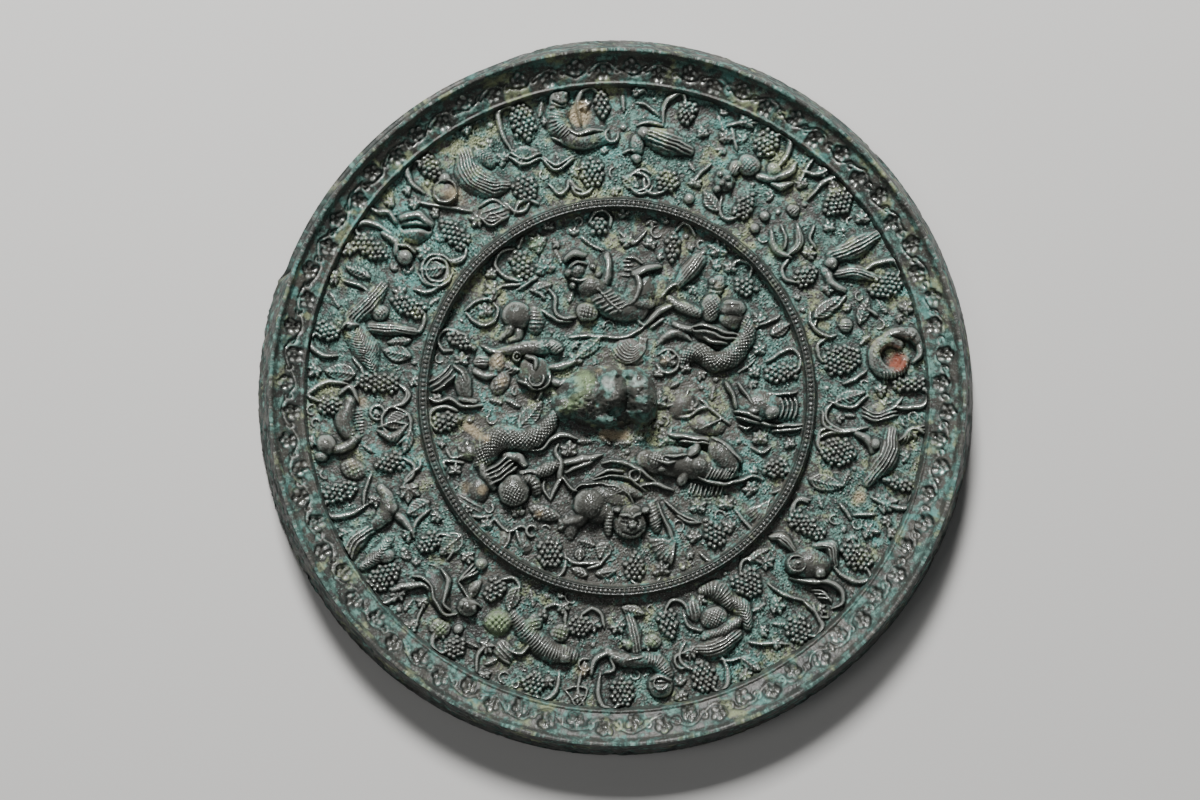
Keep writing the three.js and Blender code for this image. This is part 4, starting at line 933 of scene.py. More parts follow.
def undergrowth(count, start, end):
    """Tendrils, buds and leaflets that fill the bare ground between two distances."""
    for _ in range(count):
        place = polar(random.uniform(0, 360), math.sqrt(random.uniform(start**2, end**2)))
        turn = random.uniform(0, 360)
        size = random.uniform(1, 1.7)
        choice = random.integers(0, 4)
        cells = carving.window((place[0] - 1.4, place[1] - 1.4), (place[0] + 1.4, place[1] + 1.4))[0]
        if carving.height[cells].max() > 0.3 or math.hypot(place[0] + 4, 1.5 * place[1]) < 21:
            continue
        if choice == 0:
            leaf(place, 1.9 * size, 3.6 * size, turn, 1.1, 0.95)
        elif choice == 1:
            curl(place, 2.3 * size, turn, 1, 0.8, random.uniform(150, 290))
        elif choice == 2:
            lump(place, 1.3 * size, 1.5 * size, 1.1, turn)
        else:
            lobed_leaf(place, 3.4 * size, turn, 1.2, 3)


FRIEZE_REPEATS = 36


def frieze():
    """The flowered scroll of the rim, drawn straight: x runs round the rim, y outward."""
    length = 2 * math.pi * (FRIEZE_RADIUS - 3.1)
    strip = Carving((0, 0), (length, FRIEZE_RADIUS - LINE_RADIUS), CELL)
    step = length / FRIEZE_REPEATS
    turns = [i / 8 for i in range(-8, FRIEZE_REPEATS * 8 + 9)]
    strip.stroke([(step * t, 3.9 + 2 * math.sin(2 * math.pi * t)) for t in turns], 0.9, 1.2)
    for i in range(-1, FRIEZE_REPEATS + 1):
        shift = step * i + random.normal(0, 0.25)
        for place in ((shift + 0.76 * step, 5), (shift + 0.26 * step, 2.9)):
            flower = np.array(place) + random.normal(0, 0.12, 2)
            for petal in range(5):
                angle = 2 * math.pi * (petal + 0.25) / 5 + random.normal(0, 0.08)
                strip.lump(spoke(flower, angle, 1.6), 2.3, 2.3, 1.8, fall=0.4)
            strip.lump(flower, 1.4, 1.4, 2)
            strip.curl((flower[0] + 4.6, 3.9), 2.2, 180, 1.3, 0.8, 300)
    strip.weather(1.1, 1, 60)
    return strip


inner_field()
outer_field()
undergrowth(900, 3, 61)
undergrowth(1500, 68.5, 102)
carving.weather(0.6, 0.8, 11)

# The skin of the bronze: corrosion grains and patches, each from its finest to its coarsest detail in
# cells, and what follows from them for the relief, for the masks of patina and wear, and for the crease mask
# of painted shade and painted highlight
sheet = carving.height.shape
grains = noise(sheet, 2.2, 9, 21)
patches = noise(sheet, 14, 90, 22)
regions = noise(sheet, 60, 420, 23)
blotches = noise(sheet, 5, 26, 24)
crust = np.clip(0.42 + 0.45 * patches + 0.35 * regions, 0, 1)
carved = np.clip(carving.height / 1.2, 0, 1)
relief = carving.height + (0.06 + 0.12 * crust) * (1 - 0.5 * carved) * grains
relief = relief + 0.16 * (1 - carved) * np.clip(patches, -1, 1.5)
hollow = np.clip(gauss(relief, 6) - relief, -1.2, 1.2)
# Painted shade where the relief dips below its surroundings, and a painted highlight where it rises above
# them
crease = np.clip(gauss(relief, 2.6) - relief, -0.6, 0.6)
slope_rows, slope_columns = np.gradient(relief, CELL)


def at(field, x, y):
    """A sheet's value at places in drawn millimetres."""
    return sample(field, (y + REACH) / CELL, (x + REACH) / CELL)


# Stains: colour, place, size in drawn millimetres and strength
OCHRE = 0
GREEN = 1
RUST = 2
STAINS = [
    (OCHRE, (-50, -9.6), 2.2, 0.9), (OCHRE, (-47, -12), 2.4, 0.85), (OCHRE, (-43.6, -14), 1.8, 0.8),
    (OCHRE, (-51, -30), 2.6, 0.7), (OCHRE, (-45, -31), 2.6, 0.8), (GREEN, (-13, -1), 5, 0.7),
    (OCHRE, (-40, 12), 3.4, 0.9), (OCHRE, (-38, 5), 2.6, 0.8), (OCHRE, (34, 37), 2.4, 0.7),
    (OCHRE, (16, 12), 2.2, 0.7), (OCHRE, (-26, -39), 2.2, 0.8), (OCHRE, (12, -57), 2, 0.6),
    (OCHRE, (-4.5, -12.6), 2.2, 1), (OCHRE, (-1, -12.8), 2.2, 1), (OCHRE, (2.4, -12.6), 2, 1),
    (GREEN, (-9, 5), 3.6, 0.6), (GREEN, (-17, -4), 3, 0.6), (OCHRE, (-6, 9), 2.4, 0.6),
    (OCHRE, (-22, 10), 2.2, 0.5), (OCHRE, (46, 24), 1.8, 0.5),
    (OCHRE, polar(97.4, 95), 3.4, 1), (OCHRE, polar(-231, 87), 5, 0.8), (OCHRE, polar(-165.6, 91), 2.6, 0.7),
    (OCHRE, polar(-179, 85), 3, 0.7), (OCHRE, polar(-22, 88), 3, 0.6), (OCHRE, polar(-138.5, 74), 4, 0.6),
    (OCHRE, polar(-97, 92), 3, 0.7), (OCHRE, polar(63, 87), 3, 0.5), (RUST, polar(7, 95), 4.4, 1),
    (GREEN, (-27, 51), 5, 0.8), (GREEN, (-10, 50), 4, 0.6), (GREEN, (-33, 41), 3, 0.6),
    (GREEN, (53, 49), 5, 0.8), (GREEN, polar(-118, 86), 4, 0.6), (GREEN, (-42, 26), 3.4, 0.6),
    (GREEN, (-49.5, -19), 3.4, 0.7), (GREEN, (-45, -35), 3, 0.5), (GREEN, (16.8, -14.5), 2.6, 0.7),
    (GREEN, (14, -3), 2.8, 0.6), (GREEN, (-12, 7), 4, 0.7), (GREEN, (-31, 9), 4, 0.6),
    (GREEN, (-39.6, -74.8), 5, 1), (GREEN, (-28, -76), 4, 0.8), (GREEN, (-19, -78.6), 3.6, 0.8),
    (GREEN, (4, -82.4), 2.4, 0.8), (GREEN, (11.6, -81.6), 3.4, 0.8), (GREEN, (-59, -77), 4, 0.9),
    (GREEN, (-45.4, -55.6), 2.6, 0.8), (GREEN, (-88, -24), 4, 0.7), (GREEN, (52.5, 76), 3, 0.8),
    (OCHRE, (86, 18.4), 2.4, 0.6), (OCHRE, (81, -34), 2.4, 0.5), (OCHRE, (-12.6, 94), 3.4, 0.9),
    (OCHRE, (-12, 98), 2.4, 0.6), (OCHRE, (-38, 79), 1.8, 0.5), (OCHRE, (-35, 94), 1.4, 0.3),
]


def stain(kind, x, y):
    """How strongly places are stained in one colour."""
    total = np.zeros(x.shape)
    for colour, place, size, strength in STAINS:
        if colour == kind:
            total += strength * np.exp(-((x - place[0]) ** 2 + (y - place[1]) ** 2) / size**2)
    return total


# The face lies below this height, and the wall above it
FACE_TOP = 1
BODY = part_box("mirror")
SCALE = (BODY[1].x - BODY[0].x) / DRAWN_DIAMETER
MIDDLE = ((BODY[0].x + BODY[1].x) / 2, (BODY[0].y + BODY[1].y) / 2, BODY[0].z)


def grid_faces(rows, columns, closed=False):
    """The quads of a sheet of rows and columns. A closed one joins its last column to its first."""
    index = np.arange(rows * columns).reshape(rows, columns)
    if closed:
        index = np.hstack([index, index[:, :1]])
    a = index[:-1, :-1]
    return np.stack([a, index[:-1, 1:], index[1:, 1:], index[1:, :-1]], -1).reshape(-1, 4)


def piece(name, points, faces, normals=None):
    """A mesh from points in drawn millimetres, standing for the CAD mirror."""
    used = np.unique(faces)
    renumber = np.zeros(len(points), int)
    renumber[used] = np.arange(len(used))
    points = points[used]
    mesh = bpy.data.meshes.new(name)
    mesh.from_pydata((points * SCALE + MIDDLE).tolist(), [], renumber[faces].tolist())
    mesh.shade_smooth()
    if normals is not None:
        mesh.normals_split_custom_set_from_vertices(normals[used].tolist())
    made = bpy.data.objects.new(name, mesh)
    bpy.context.collection.objects.link(made)
    return made


def paint(made, patina, wear, dark):
    """Stores each point's patina, wear and stains, and whether it lies in a crease (1), painted in shade, or
    on a crest (0), given a painted highlight.
    The reflecting face has no stains."""
    mesh = made.data
    points = np.empty(len(mesh.vertices) * 3)
    mesh.vertices.foreach_get("co", points)
    points = (points.reshape(-1, 3) - MIDDLE) / SCALE
    x, y = points[:, 0], points[:, 1]
    skin = np.stack([patina(points), wear(points), dark(points), np.ones(len(x))], 1)
    off_face = points[:, 2] > FACE_TOP
    stains = np.stack([off_face * stain(kind, x, y) for kind in (OCHRE, GREEN, RUST)] + [np.ones(len(x))], 1)
    for name, values in (("skin", skin), ("stains", stains)):
        layer = mesh.color_attributes.new(name, "FLOAT_COLOR", "POINT")
        layer.data.foreach_set("color", values.clip(0, 1).astype(np.float32).ravel())
    mesh.materials.append(bronze)
    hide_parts("mirror")
    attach(made, "root")


def field_patina_and_shade(points):
    x, y = points[:, 0], points[:, 1]
    low = np.exp(-((x + 10) ** 2 + (y + 48) ** 2) / 30**2)
    value = 0.46 + 0.12 * at(hollow, x, y) + 0.12 * at(patches, x, y) + 0.12 * at(regions, x, y)
    # The tanh term is painted shade: less pale verdigris towards the bottom, where the light falls off
    value = value + 0.16 * at(blotches, x, y) + 0.08 * np.tanh((y + 12) / 30)
    return value - 0.03 * at(carving.height, x, y) - 0.26 * low + 0.12 * np.hypot(x, y) / REACH


def field_wear_and_shade(points):
    x, y = points[:, 0], points[:, 1]
    height = at(carving.height, x, y)
    outside = np.clip((np.hypot(x, y) - 62) / 6, 0, 1)
    value = 0.2 * height - 0.35 * at(hollow, x, y) - 0.18 * at(crust, x, y) * at(patches, x, y)
    # Painted shade: more dark worn metal towards the bottom, where the light falls off
    value = value - 0.12 * np.tanh((y + 12) / 30)
    return value - 0.35 * outside - 0.12 * np.clip(x / 60, -1, 1) * (1 - outside)


# Painted shade in the field's creases (towards 1) and a painted highlight on its crests (towards 0)
def field_crease(points):
    return 0.5 + 1.5 * at(crease, points[:, 0], points[:, 1])


def field_points(x, y, floor):
    """Points and normals of a field's surface over a floor."""
    points = np.stack([x, y, floor + at(relief, x, y)], -1).reshape(-1, 3)
    up = np.ones(x.size)
    normals = np.stack([-at(slope_columns, x, y).ravel(), -at(slope_rows, x, y).ravel(), up], -1)
    return points, normals / np.linalg.norm(normals, axis=1)[:, None]


# The spacing of points in the inner field, and how many span a third of the outer one each way
INNER_STEP = 0.3
OUTER_COLUMNS = 591
OUTER_ROWS = 119
# Where the outer field starts to rise to the rim, over what width, and by how much
RISE_START = 98
RISE_WIDTH = 5
RISE = 1.2


def inner_piece(name, side):
    """Half of the inner field. Its edge lies inside the ring."""
    edge = RING_INSIDE + LAP
    x, y = np.meshgrid(side * np.arange(0, edge, INNER_STEP), np.arange(-edge, edge, INNER_STEP))
    points, normals = field_points(x, y, INNER_FLOOR)
    faces = grid_faces(*x.shape)
    if side < 0:
        faces = faces[:, ::-1]
    faces = faces[(np.hypot(points[:, 0], points[:, 1])[faces] < edge).all(1)]
    paint(piece(name, points, faces, normals), field_patina_and_shade, field_wear_and_shade, field_crease)


def outer_piece(name, start, end):
    """A stretch of the outer field. Its edges lie inside the ring and the rim."""
    angles = np.radians(np.linspace(start, end, OUTER_COLUMNS))
    radii = np.linspace(RING_OUTSIDE - LAP, OUTER_END + 0.5, OUTER_ROWS)
    a, r = np.meshgrid(angles, radii)
    rise = RISE * np.clip((r - RISE_START) / RISE_WIDTH, 0, 1) ** 2
    points, normals = field_points(r * np.cos(a), r * np.sin(a), OUTER_FLOOR + rise)
    faces = grid_faces(*a.shape)[:, ::-1]
    paint(piece(name, points, faces, normals), field_patina_and_shade, field_wear_and_shade, field_crease)


# Noise for the round pieces: rows go outward or up, and columns go round the mirror
rim_grain = noise((256, 4096), 2.5, 12, 31)
rim_patches = noise((256, 4096), 16, 110, 32)


def round_noise(field, angle, along):
    """Noise that closes on itself round the mirror. Along is in drawn millimetres."""
    columns = (np.degrees(angle) % 360) / 360 * field.shape[1]
    columns = np.where(columns >= field.shape[1] - 1.01, 0, columns)
    return sample(field, np.mod(along / CELL, field.shape[0] - 2), columns)


def lathe_piece(name, angle_steps, radii, heights, bump, patina, wear, dark):
    """A round piece from a profile. Bump gives how far each point is moved along its normal."""
    angles = np.arange(angle_steps) / angle_steps * 2 * math.pi
    a, r = np.meshgrid(angles, radii)
    z = np.broadcast_to(np.array(heights, float)[:, None], a.shape)
    along = np.concatenate([[0], np.cumsum(np.hypot(np.diff(radii), np.diff(heights)))])
    slope = np.stack([np.gradient(radii, along), np.gradient(heights, along)])
    push = bump(a, r, z)
    r = r + push * slope[1][:, None]
    z = z - push * slope[0][:, None]
    points = np.stack([r * np.cos(a), r * np.sin(a), z], -1).reshape(-1, 3)
    paint(piece(name, points, grid_faces(*a.shape, True)), patina, wear, dark)


def bearing(points):
    """The angle of each point round the mirror."""
    return np.arctan2(points[:, 1], points[:, 0])


PEARLS = 260
PEARL_SIZE = 1.36
PEARL_HEIGHT = 0.62
PEARL_RADIUS = 64.8
PEARL_PITCH = 2 * math.pi * PEARL_RADIUS / PEARLS
# The fine lines beside the pearls: how far off they run, their width and height
EDGING_OFFSET = 1.05
EDGING_WIDTH = 0.2
EDGING_HEIGHT = 0.5


def pearl_bump(a, r, z):
    """Pearls between two fine lines, on the flat of the ring."""
    turn = (a * PEARLS / (2 * math.pi)) % 1 - 0.5
    off = np.hypot(turn * PEARL_PITCH, r - PEARL_RADIUS) / (PEARL_SIZE / 2)
    pearls = PEARL_HEIGHT * np.sqrt(np.clip(1 - off**2, 0, 1))
    beside = (np.abs(r - PEARL_RADIUS) - EDGING_OFFSET) / EDGING_WIDTH
    lines = EDGING_HEIGHT * np.exp(-(beside**2))
    flat = np.clip((z - RING_TOP + 0.2) * 5, 0, 1)
    worn = np.clip(0.85 + 0.2 * round_noise(rim_patches, a, 3), 0.2, 1)
    inward = -(flat * (np.maximum(pearls, lines) * worn - 0.45))
    return inward + 0.03 * round_noise(rim_grain, a, r)


def ring_piece():
    """The ring of pearls that parts the fields."""
    radii = np.concatenate([[61.9, RING_INSIDE, 63, 63.4, 63.62], np.linspace(63.8, 65.8, 11),
                            [65.98, 66.3, 66.7, RING_OUTSIDE, 67.7]])
    heights = [4.1, INNER_FLOOR, 6.8, 8.7] + 13 * [RING_TOP] + [8.5, 7, OUTER_FLOOR, 5.3]

    def patina(points):
        mottled = 0.22 * round_noise(rim_patches, bearing(points), 8)
        return 0.34 + mottled - 0.5 * (points[:, 2] - 9.3).clip(0, 1)

    def wear(points):
        return 0.5 + (points[:, 2] - 9.3).clip(-0.4, 1)

    # Painted shade between the pearls and down the ring's upper sides, fading to a faint painted highlight at
    # the pearls' tops
    def dark(points):
        low = points[:, 2] < 8.4
        return np.where(low, 0.55, 1 - 1.1 * (points[:, 2] - 9.15))

    lathe_piece("pearled_ring", PEARLS * 8, radii, heights, pearl_bump, patina, wear, dark)


strip = frieze()
# The frieze's crease mask: painted shade in the scroll's creases and a painted highlight on its crests
strip_crease = gauss(strip.height, 2.6) - strip.height


def at_strip(field, a, r):
    """A value of the frieze's strip at a place round the rim, and none outside it."""
    columns = np.mod(a, 2 * math.pi) / (2 * math.pi) * (field.shape[1] - 2)
    inside = (r > LINE_RADIUS + 0.2) & (r < FRIEZE_RADIUS)
    return np.where(inside, sample(field, (r - LINE_RADIUS) / CELL, columns), 0)


def frieze_bump(a, r, z):
    """The scroll and the corroded grain of the frieze. The crest stays plain."""
    carved_here = at_strip(strip.height, a, r)
    worn = np.clip(0.9 + 0.3 * round_noise(rim_patches, a, 20), 0.35, 1)
    rough = 0.05 * round_noise(rim_grain, a, r) + 0.08 * round_noise(rim_patches, a, r)
    return np.where(z > 17.5, 0, -1.05 * worn * carved_here + rough - 0.04)


def frieze_piece():
    """The rim's crest, its steep lip, the frieze and the thin raised line at its foot."""
    frieze_rows = np.linspace(FRIEZE_RADIUS, LINE_RADIUS, 27)
    radii = np.concatenate([[CREST_RADIUS, 115.3, 114.8, 114.3, 113.8], frieze_rows,
                            [104.95, 104.6, 104.2, 103.5, 102.9, 102.3]])
    corners = np.array([CREST_RADIUS, 114.8, FRIEZE_RADIUS, LINE_RADIUS, 105, 104.5, 102.9, 102.3])
    heights = np.interp(-radii, -corners, [RIM_TOP, RIM_TOP, 15, 10, 10.5, 10.5, OUTER_FLOOR, 5.2])

    def patina(points):
        height = -frieze_bump(bearing(points), np.hypot(points[:, 0], points[:, 1]), points[:, 2])
        return 0.5 + 0.25 * round_noise(rim_patches, bearing(points), points[:, 2] * 2) - 0.1 * height

    def wear(points):
        height = -frieze_bump(bearing(points), np.hypot(points[:, 0], points[:, 1]), points[:, 2])
        return 0.1 + 0.5 * height

    def dark(points):
        a = bearing(points)
        r = np.hypot(points[:, 0], points[:, 1])
        # Painted shade on the drop below the raised line and on the lip above the frieze
        drop = np.where((r > 102) & (r < 104.4), 0.2, 0) + np.where(r > FRIEZE_RADIUS, 0.15, 0)
        # Pale specks along the crest, in the crest highlight's colour
        edge = np.where(r > 114.6, 0.4, 0) * np.clip(round_noise(rim_grain, a, 5), 0, 1.2)
        # Painted shade and highlight from the scroll's creases and crests, slightly darker towards the bottom
        return 0.55 + 1.3 * at_strip(strip_crease, a, r) - 0.06 * np.sin(a) + drop - edge

    lathe_piece("rim_frieze", 2160, radii, heights, frieze_bump, patina, wear, dark)


# Bearings in degrees between which the wall's skin has flaked off, and is crusted
FLAKED = (100, 161)
CRUSTED = (159, 232)
FLAKE_DEPTH = 2.6


def wall_bump(a, r, z):
    """The wall's skin has flaked off in places and is beaded with corrosion in others."""
    degrees = np.degrees(a) % 360
    flaked = np.clip((degrees - FLAKED[0]) / 14, 0, 1) * np.clip((FLAKED[1] - degrees) / 2, 0, 1)
    crusty = np.clip((degrees - CRUSTED[0]) / 4, 0, 1) * np.clip((CRUSTED[1] - degrees) / 12, 0, 1)
    rough = 0.16 + 0.16 * crusty * (1 - flaked)
    ragged = np.clip(round_noise(rim_patches, a, 31 + z) - 0.7, 0, 1.2)
    beads = rough * (1 + 0.6 * round_noise(rim_grain, a, z)) + 0.45 * ragged
    push = FLAKE_DEPTH * flaked * (1 - z / 22) + beads
    on_wall = (r > 115) & (z > 0.5) & (z < 17.6)
    return np.where(on_wall, push, 0.02 * (1 + round_noise(rim_grain, a, r)) * (z > 0.05))


def wall_piece():
    """The slightly domed face, with its flat spot, and the wall that leans in up to the crest."""
    face_radii = [0.4, 20, 42, 60, 80, 95, 105, 112, 117, 119.2]
    face_heights = [0.02, 0, 0, 0.22, 0.46, 0.65, 0.77, 0.85, 0.91, 0.94]
    radii = np.concatenate([face_radii, np.linspace(119.9, 115.75, 18), [115.1]])
    heights = np.concatenate([face_heights, np.linspace(1.2, 17.85, 18), [17.2]])

    def patina(points):
        wall = 0.5 + 0.3 * round_noise(rim_patches, bearing(points), points[:, 2] * 2)
        return np.where(points[:, 2] > FACE_TOP, wall, 0.3)

    def wear(points):
        wall = 0.25 + 0.1 * round_noise(rim_patches, bearing(points), 50)
        return np.where(points[:, 2] > FACE_TOP, wall, 0.4)

    def dark(points):
        a = bearing(points)
        z = points[:, 2]
        ragged = round_noise(rim_patches, a, z * 3) + round_noise(rim_grain, a, z)
        # Painted shade over the wall, ragged, and less of it at the crest; the face stays even
        return np.where(z > 0.97, 0.78 + 0.16 * ragged - 0.3 * (z > 17), 0.5)

    lathe_piece("face_and_wall", 720, radii[::-1], heights[::-1], wall_bump, patina, wear, dark)


# The knob's underside, sunk into the plate
KNOB_FOOT = 2.6


def knob_piece():
    """The knob: a corroded crouching beast, closed down to its foot. Its hole along Y for a cord is cut
    afterwards.
    """
    knob = Carving((-26, -16), (18, 16), 0.2)
    knob.lump((-4, 0), 33, 20, 8.6)
    knob.lump((-11, -1.5), 12.5, 15, 10.6, 10)
    knob.lump((-17.6, -3), 8, 9, 7.4)
    knob.lump((-1.6, 1), 10.5, 14.5, 13, 0, fall=0.42)
    knob.lump((-1.2, 7), 6, 6, 10)
    knob.lump((8, -0.6), 10.4, 18, 11.8, 8, fall=0.42)
    knob.lump((5, 7.6), 8, 5, 8)
    knob.etch([(-6.6, 8), (-6, 2), (-6.8, -6)], 1.8, -1.3)
    knob.etch([(2.8, 9), (3.4, 2), (3, -7)], 1.7, -1.5)
    knob.lump((-2.6, -7.6), 8, 5, 9)
    knob.height = gauss(knob.height, 2.4)
    shape = knob.height.shape
    solid = np.clip(knob.height / 3, 0, 1)
    rough = 0.26 * noise(shape, 4, 12, 41) + 0.34 * noise(shape, 12, 50, 42)
    knob.height = knob.height + solid * np.clip(rough, -1.4, 0.8)
    x, y = np.meshgrid(knob.x[::2], knob.y[::2])
    height = knob.height[::2, ::2]
    top = np.stack([x, y, INNER_FLOOR + np.where(height > 0.25, height - 0.1, -0.6)], -1).reshape(-1, 3)
    faces = grid_faces(*x.shape)
    keep = (height.ravel()[faces] > 0.2).any(1)
    faces = faces[keep]
    made = piece("knob", top, faces)
    close = bmesh.new()
    close.from_mesh(made.data)
    edges = [edge for edge in close.edges if edge.is_boundary]
    rim = bmesh.ops.extrude_edge_only(close, edges=edges)["geom"]
    for item in rim:
        if isinstance(item, bmesh.types.BMVert):
            item.co.z = MIDDLE[2] + KNOB_FOOT * SCALE
    bmesh.ops.holes_fill(close, edges=[edge for edge in close.edges if edge.is_boundary])
    bmesh.ops.recalc_face_normals(close, faces=close.faces)
    close.to_mesh(made.data)
    close.free()
    return made


# The arched hole: its middle, half its width, its foot, the height its arch springs from, half its length
HOLE_MIDDLE = -2
HOLE_HALF = 4.5
HOLE_FOOT = 3.4
HOLE_SPRING = 6.5
HOLE_REACH = 21


def hole_cutter():
    """An arched bar along Y."""
    angles = np.linspace(0, math.pi, 17)
    arch = [(HOLE_HALF * math.cos(t), HOLE_SPRING + HOLE_HALF * math.sin(t)) for t in angles]
    outline = [(HOLE_HALF, HOLE_FOOT)] + arch + [(-HOLE_HALF, HOLE_FOOT)]
    ends = [[(x + HOLE_MIDDLE, y, z) for x, z in outline] for y in (-HOLE_REACH, HOLE_REACH)]
    count = len(outline)
    faces = [[i, (i + 1) % count, count + (i + 1) % count, count + i] for i in range(count)]
    mesh = bpy.data.meshes.new("hole")
    points = np.array(ends[0] + ends[1]) * SCALE + MIDDLE
    mesh.from_pydata(points.tolist(), [], faces + [list(range(count))[::-1], list(range(count, 2 * count))])
    return bpy.data.objects.new("hole", mesh)


def pierced_knob():
    """The knob with its hole cut, with painted shade in its grooves and pit, painted lighter along its top,
    and painted darker at its glossy right side.
    """
    made = knob_piece()
    cutter = hole_cutter()
    bpy.context.collection.objects.link(cutter)
    bpy.context.view_layer.update()
    cut = made.modifiers.new("hole", "BOOLEAN")
    cut.object = cutter
    cut.solver = "EXACT"
    graph = bpy.context.evaluated_depsgraph_get()
    made.data = bpy.data.meshes.new_from_object(made.evaluated_get(graph))
    made.modifiers.clear()
    bpy.data.objects.remove(cutter)
    made.data.shade_smooth()
    made.data.set_sharp_from_angle(angle=math.radians(60))

    def patina(points):
        return 0.5 + 0.4 * at(patches, points[:, 0], points[:, 1]) - 0.04 * (points[:, 2] - 8)

    def wear(points):
        right = np.exp(-((points[:, 0] - 9) / 5) ** 2)
        return 0.3 + 0.05 * (points[:, 2] - 8) + 0.4 * right - 0.3 * at(patches, points[:, 0], points[:, 1])

    # Painted shade in the grooves and the pit, the crest highlight's colour along the top, and the shade's
    # near-black at the glossy right side
    def dark(points):
        x, y = points[:, 0], points[:, 1]
        right = np.exp(-((x - 9.5) / 4.5) ** 2 - ((y + 2) / 7) ** 2)
        pit = np.exp(-((x + 2.6) / 1.4) ** 2 - ((y + 4) / 1.2) ** 2)
        grooves = np.exp(-((x + 6.4) / 1) ** 2) + np.exp(-((x - 3.2) / 0.9) ** 2)
        top = np.exp(-((x - 4) / 9) ** 2 - ((y - 4.6) / 2.6) ** 2)
        return 0.5 + 0.3 * right + 0.5 * pit + 0.22 * grooves - 0.26 * top - 0.1 * at(patches, x, y)

    paint(made, patina, wear, dark)


# Colours of the bronze, from dark to light where there are two
METAL = ((0.036, 0.036, 0.033), (0.085, 0.08, 0.068))
VERDIGRIS = ((0.026, 0.062, 0.053), (0.145, 0.285, 0.242))
TURQUOISE = (0.1, 0.27, 0.24)
OLIVE = (0.24, 0.27, 0.15)
SOIL = (0.05, 0.048, 0.045)
# Pale specks: corrosion bloom, and painted glints
BLOOM_AND_GLINT = (0.38, 0.52, 0.45)
WORN_METAL = (0.07, 0.07, 0.062)
# A painted highlight for crests, and near-black painted shade for creases and the other darkened places
CREST_HIGHLIGHT = (0.62, 0.65, 0.6)
CREVICE_SHADE = (0.018, 0.024, 0.021)
OCHRE_CRUST = (0.38, 0.31, 0.2)
GREEN_CRUST = (0.21, 0.29, 0.15)
RUST_CRUST = (0.2, 0.06, 0.035)


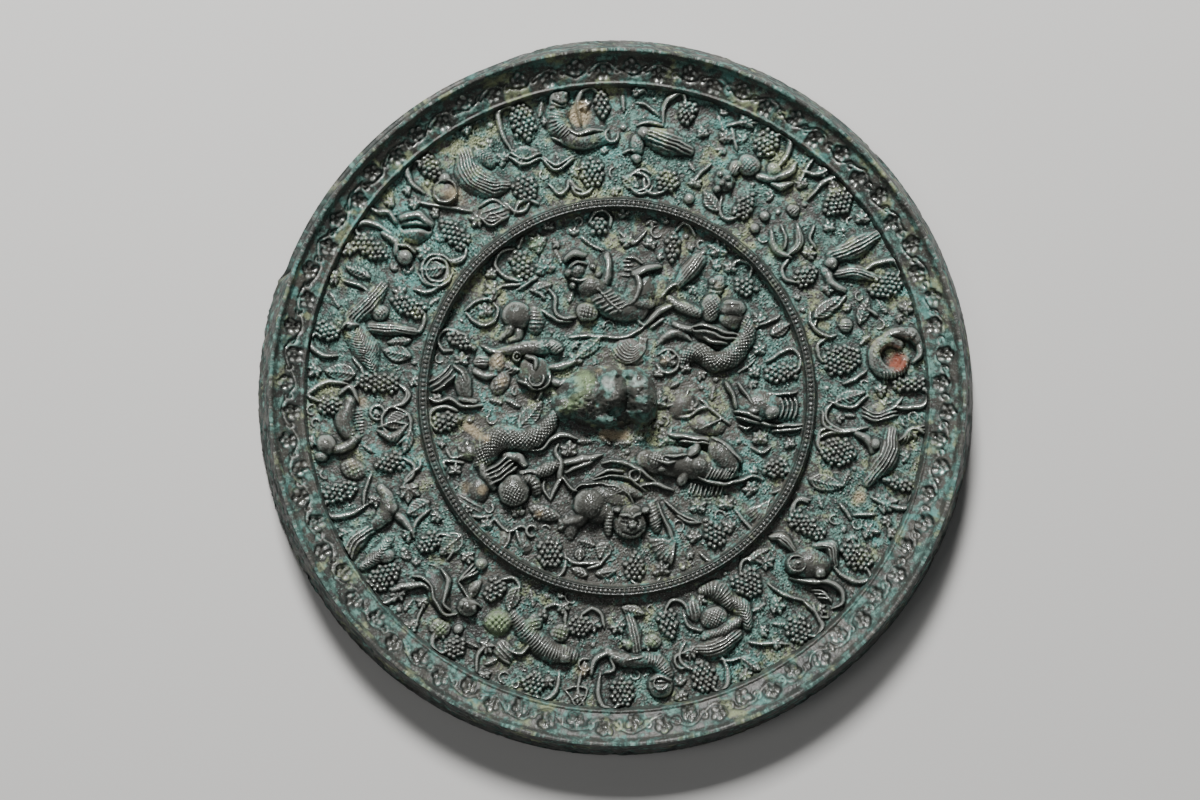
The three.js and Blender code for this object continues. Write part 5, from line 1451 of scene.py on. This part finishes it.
def bronze_material():
    """Worn bronze under mottled verdigris, with grains of soil, painted shade in creases and painted
    highlights on crests, all from the stored masks.
    """
    material = bpy.data.materials.new("patinated bronze")
    material.use_nodes = True
    tree = material.node_tree
    nodes = tree.nodes
    shader = nodes["Principled BSDF"]
    link = tree.links.new

    def node(kind, **settings):
        made = nodes.new(kind)
        for name, value in settings.items():
            setattr(made, name, value)
        return made

    def math_node(operation, first, second, clamp=False):
        made = node("ShaderNodeMath", operation=operation, use_clamp=clamp)
        for socket, value in zip(made.inputs, (first, second)):
            if isinstance(value, (int, float)):
                socket.default_value = value
            else:
                link(value, socket)
        return made.outputs[0]

    def mix(share, first, second):
        made = node("ShaderNodeMix", data_type="RGBA")
        for socket, value in ((made.inputs[0], share), (made.inputs[6], first), (made.inputs[7], second)):
            if isinstance(value, tuple):
                socket.default_value = (*value, 1)
            elif isinstance(value, (int, float)):
                socket.default_value = value
            else:
                link(value, socket)
        return made.outputs[2]

    def speckle(scale, detail):
        made = node("ShaderNodeTexNoise")
        made.inputs["Scale"].default_value = scale
        made.inputs["Detail"].default_value = detail
        made.inputs["Roughness"].default_value = 0.62
        link(place.outputs["Object"], made.inputs["Vector"])
        return made.outputs["Fac"]

    def split(name):
        made = node("ShaderNodeAttribute", attribute_name=name)
        parts = node("ShaderNodeSeparateColor")
        link(made.outputs["Color"], parts.inputs[0])
        return parts.outputs

    def ramp(value, low, high):
        made = node("ShaderNodeMapRange", interpolation_type="SMOOTHSTEP")
        made.inputs["From Min"].default_value = low
        made.inputs["From Max"].default_value = high
        link(value, made.inputs["Value"])
        return made.outputs[0]

    def crusted(mask, broken, low, high, most):
        """How much of a stain shows, where the specks break it up."""
        share = math_node("ADD", mask, math_node("SUBTRACT", speck, broken))
        return math_node("MULTIPLY", ramp(share, low, high), most)

    place = node("ShaderNodeTexCoord")
    patina, wear, dark = split("skin")
    # The dark mask gives painted shade where it is high and a painted highlight where it is low
    crevice = ramp(dark, 0.53, 0.9)
    crest = ramp(dark, 0.4, 0.0)
    ochre, green, rust = split("stains")
    fine = speckle(1500, 4)
    coarse = speckle(420, 5)
    broad = speckle(60, 4)
    speck = math_node("ADD", math_node("MULTIPLY", fine, 0.7), math_node("MULTIPLY", coarse, 0.9))
    cover = ramp(math_node("ADD", patina, math_node("SUBTRACT", speck, 0.8)), 0.28, 0.78)
    worn = ramp(math_node("SUBTRACT", wear, math_node("MULTIPLY", speck, 0.35)), 0.0, 0.75)
    metal = mix(ramp(broad, 0.35, 0.65), *METAL)
    verdigris = mix(ramp(coarse, 0.4, 0.66), *VERDIGRIS)
    verdigris = mix(ramp(broad, 0.52, 0.68), verdigris, TURQUOISE)
    verdigris = mix(ramp(speckle(95, 3), 0.52, 0.64), verdigris, OLIVE)
    base = mix(cover, metal, verdigris)
    base = mix(ramp(speckle(330, 2), 0.58, 0.72), base, SOIL)
    # Pale specks of bloom with painted glints
    base = mix(math_node("MULTIPLY", ramp(fine, 0.56, 0.7), 0.36), base, BLOOM_AND_GLINT)
    base = mix(math_node("MULTIPLY", worn, 0.9), base, WORN_METAL)
    # The painted highlight on crests, then the painted shade in creases
    base = mix(math_node("MULTIPLY", crest, 0.75), base, CREST_HIGHLIGHT)
    base = mix(math_node("MULTIPLY", crevice, 0.9), base, CREVICE_SHADE)
    base = mix(crusted(ochre, 0.95, 0.15, 0.9, 0.85), base, OCHRE_CRUST)
    base = mix(crusted(green, 1.05, 0.15, 0.9, 0.85), base, GREEN_CRUST)
    base = mix(crusted(rust, 0.95, 0.2, 0.8, 1), base, RUST_CRUST)
    link(base, shader.inputs["Base Color"])
    rough = math_node("SUBTRACT", math_node("ADD", 0.48, math_node("MULTIPLY", cover, 0.36)),
                      math_node("MULTIPLY", math_node("MAXIMUM", worn, crest), 0.42), True)
    link(rough, shader.inputs["Roughness"])
    link(math_node("MULTIPLY", crest, 0.6), shader.inputs["Metallic"])
    bump = node("ShaderNodeBump")
    bump.inputs["Strength"].default_value = 0.6
    bump.inputs["Distance"].default_value = 0.00025
    link(speck, bump.inputs["Height"])
    link(bump.outputs[0], shader.inputs["Normal"])
    return material


bronze = bronze_material()
inner_piece("inner_field_right", 1)
inner_piece("inner_field_left", -1)
for third in range(3):
    outer_piece("outer_field_%d" % (third + 1), 120 * third, 120 * third + 120)
ring_piece()
frieze_piece()
wall_piece()
pierced_knob()


# Each light: its name, place and size in metres, and its power in watts
LIGHTS = [
    ("key", (-0.2, 1.2, 1.1), 0.34, 54),
    ("fill", (0.9, -0.7, 1.3), 1.4, 1),
    ("top", (-0.7, 0.1, 1.5), 0.5, 3),
]


def stage_and_light():
    """A plain pale floor and broad soft light from the top of the picture."""
    bpy.ops.mesh.primitive_plane_add(size=6, location=(0, 0, BODY[0].z))
    floor = bpy.context.object
    floor.name = "floor"
    pale = bpy.data.materials.new("pale floor")
    pale.use_nodes = True
    pale.node_tree.nodes["Principled BSDF"].inputs["Base Color"].default_value = (0.62, 0.61, 0.59, 1)
    pale.node_tree.nodes["Principled BSDF"].inputs["Roughness"].default_value = 0.85
    floor.data.materials.append(pale)
    for name, place, size, power in LIGHTS:
        light = bpy.data.lights.new(name, "AREA")
        light.size = size
        light.energy = power
        lamp = bpy.data.objects.new(name, light)
        lamp.location = place
        lamp.rotation_euler = (-Vector(place)).to_track_quat("-Z", "Y").to_euler()
        bpy.context.collection.objects.link(lamp)
    world = bpy.data.worlds.new("studio")
    world.use_nodes = True
    world.node_tree.nodes["Background"].inputs["Color"].default_value = (0.9, 0.95, 1, 1)
    world.node_tree.nodes["Background"].inputs["Strength"].default_value = 0.05
    bpy.context.scene.world = world


# The photo's camera: 1.5 m above, 2.2 degrees to the left and 0.8 degrees below, aimed a little off the
# middle
CAMERA_DISTANCE = 1.5
CAMERA_LEFT = 2.2
CAMERA_BELOW = 0.8
CAMERA_AIM = (-0.0058, -0.001)
CAMERA_LENS = 135


def camera():
    data = bpy.data.cameras.new("camera")
    data.lens = CAMERA_LENS
    data.sensor_width = 36
    made = bpy.data.objects.new("camera", data)
    aim = Vector((*CAMERA_AIM, (BODY[0].z + BODY[1].z) / 2))
    back = Vector((-math.tan(math.radians(CAMERA_LEFT)), -math.tan(math.radians(CAMERA_BELOW)), 1))
    made.location = aim + back.normalized() * CAMERA_DISTANCE
    made.rotation_euler = (math.radians(CAMERA_BELOW), -math.radians(CAMERA_LEFT), 0)
    bpy.context.collection.objects.link(made)
    bpy.context.scene.camera = made


stage_and_light()
camera()
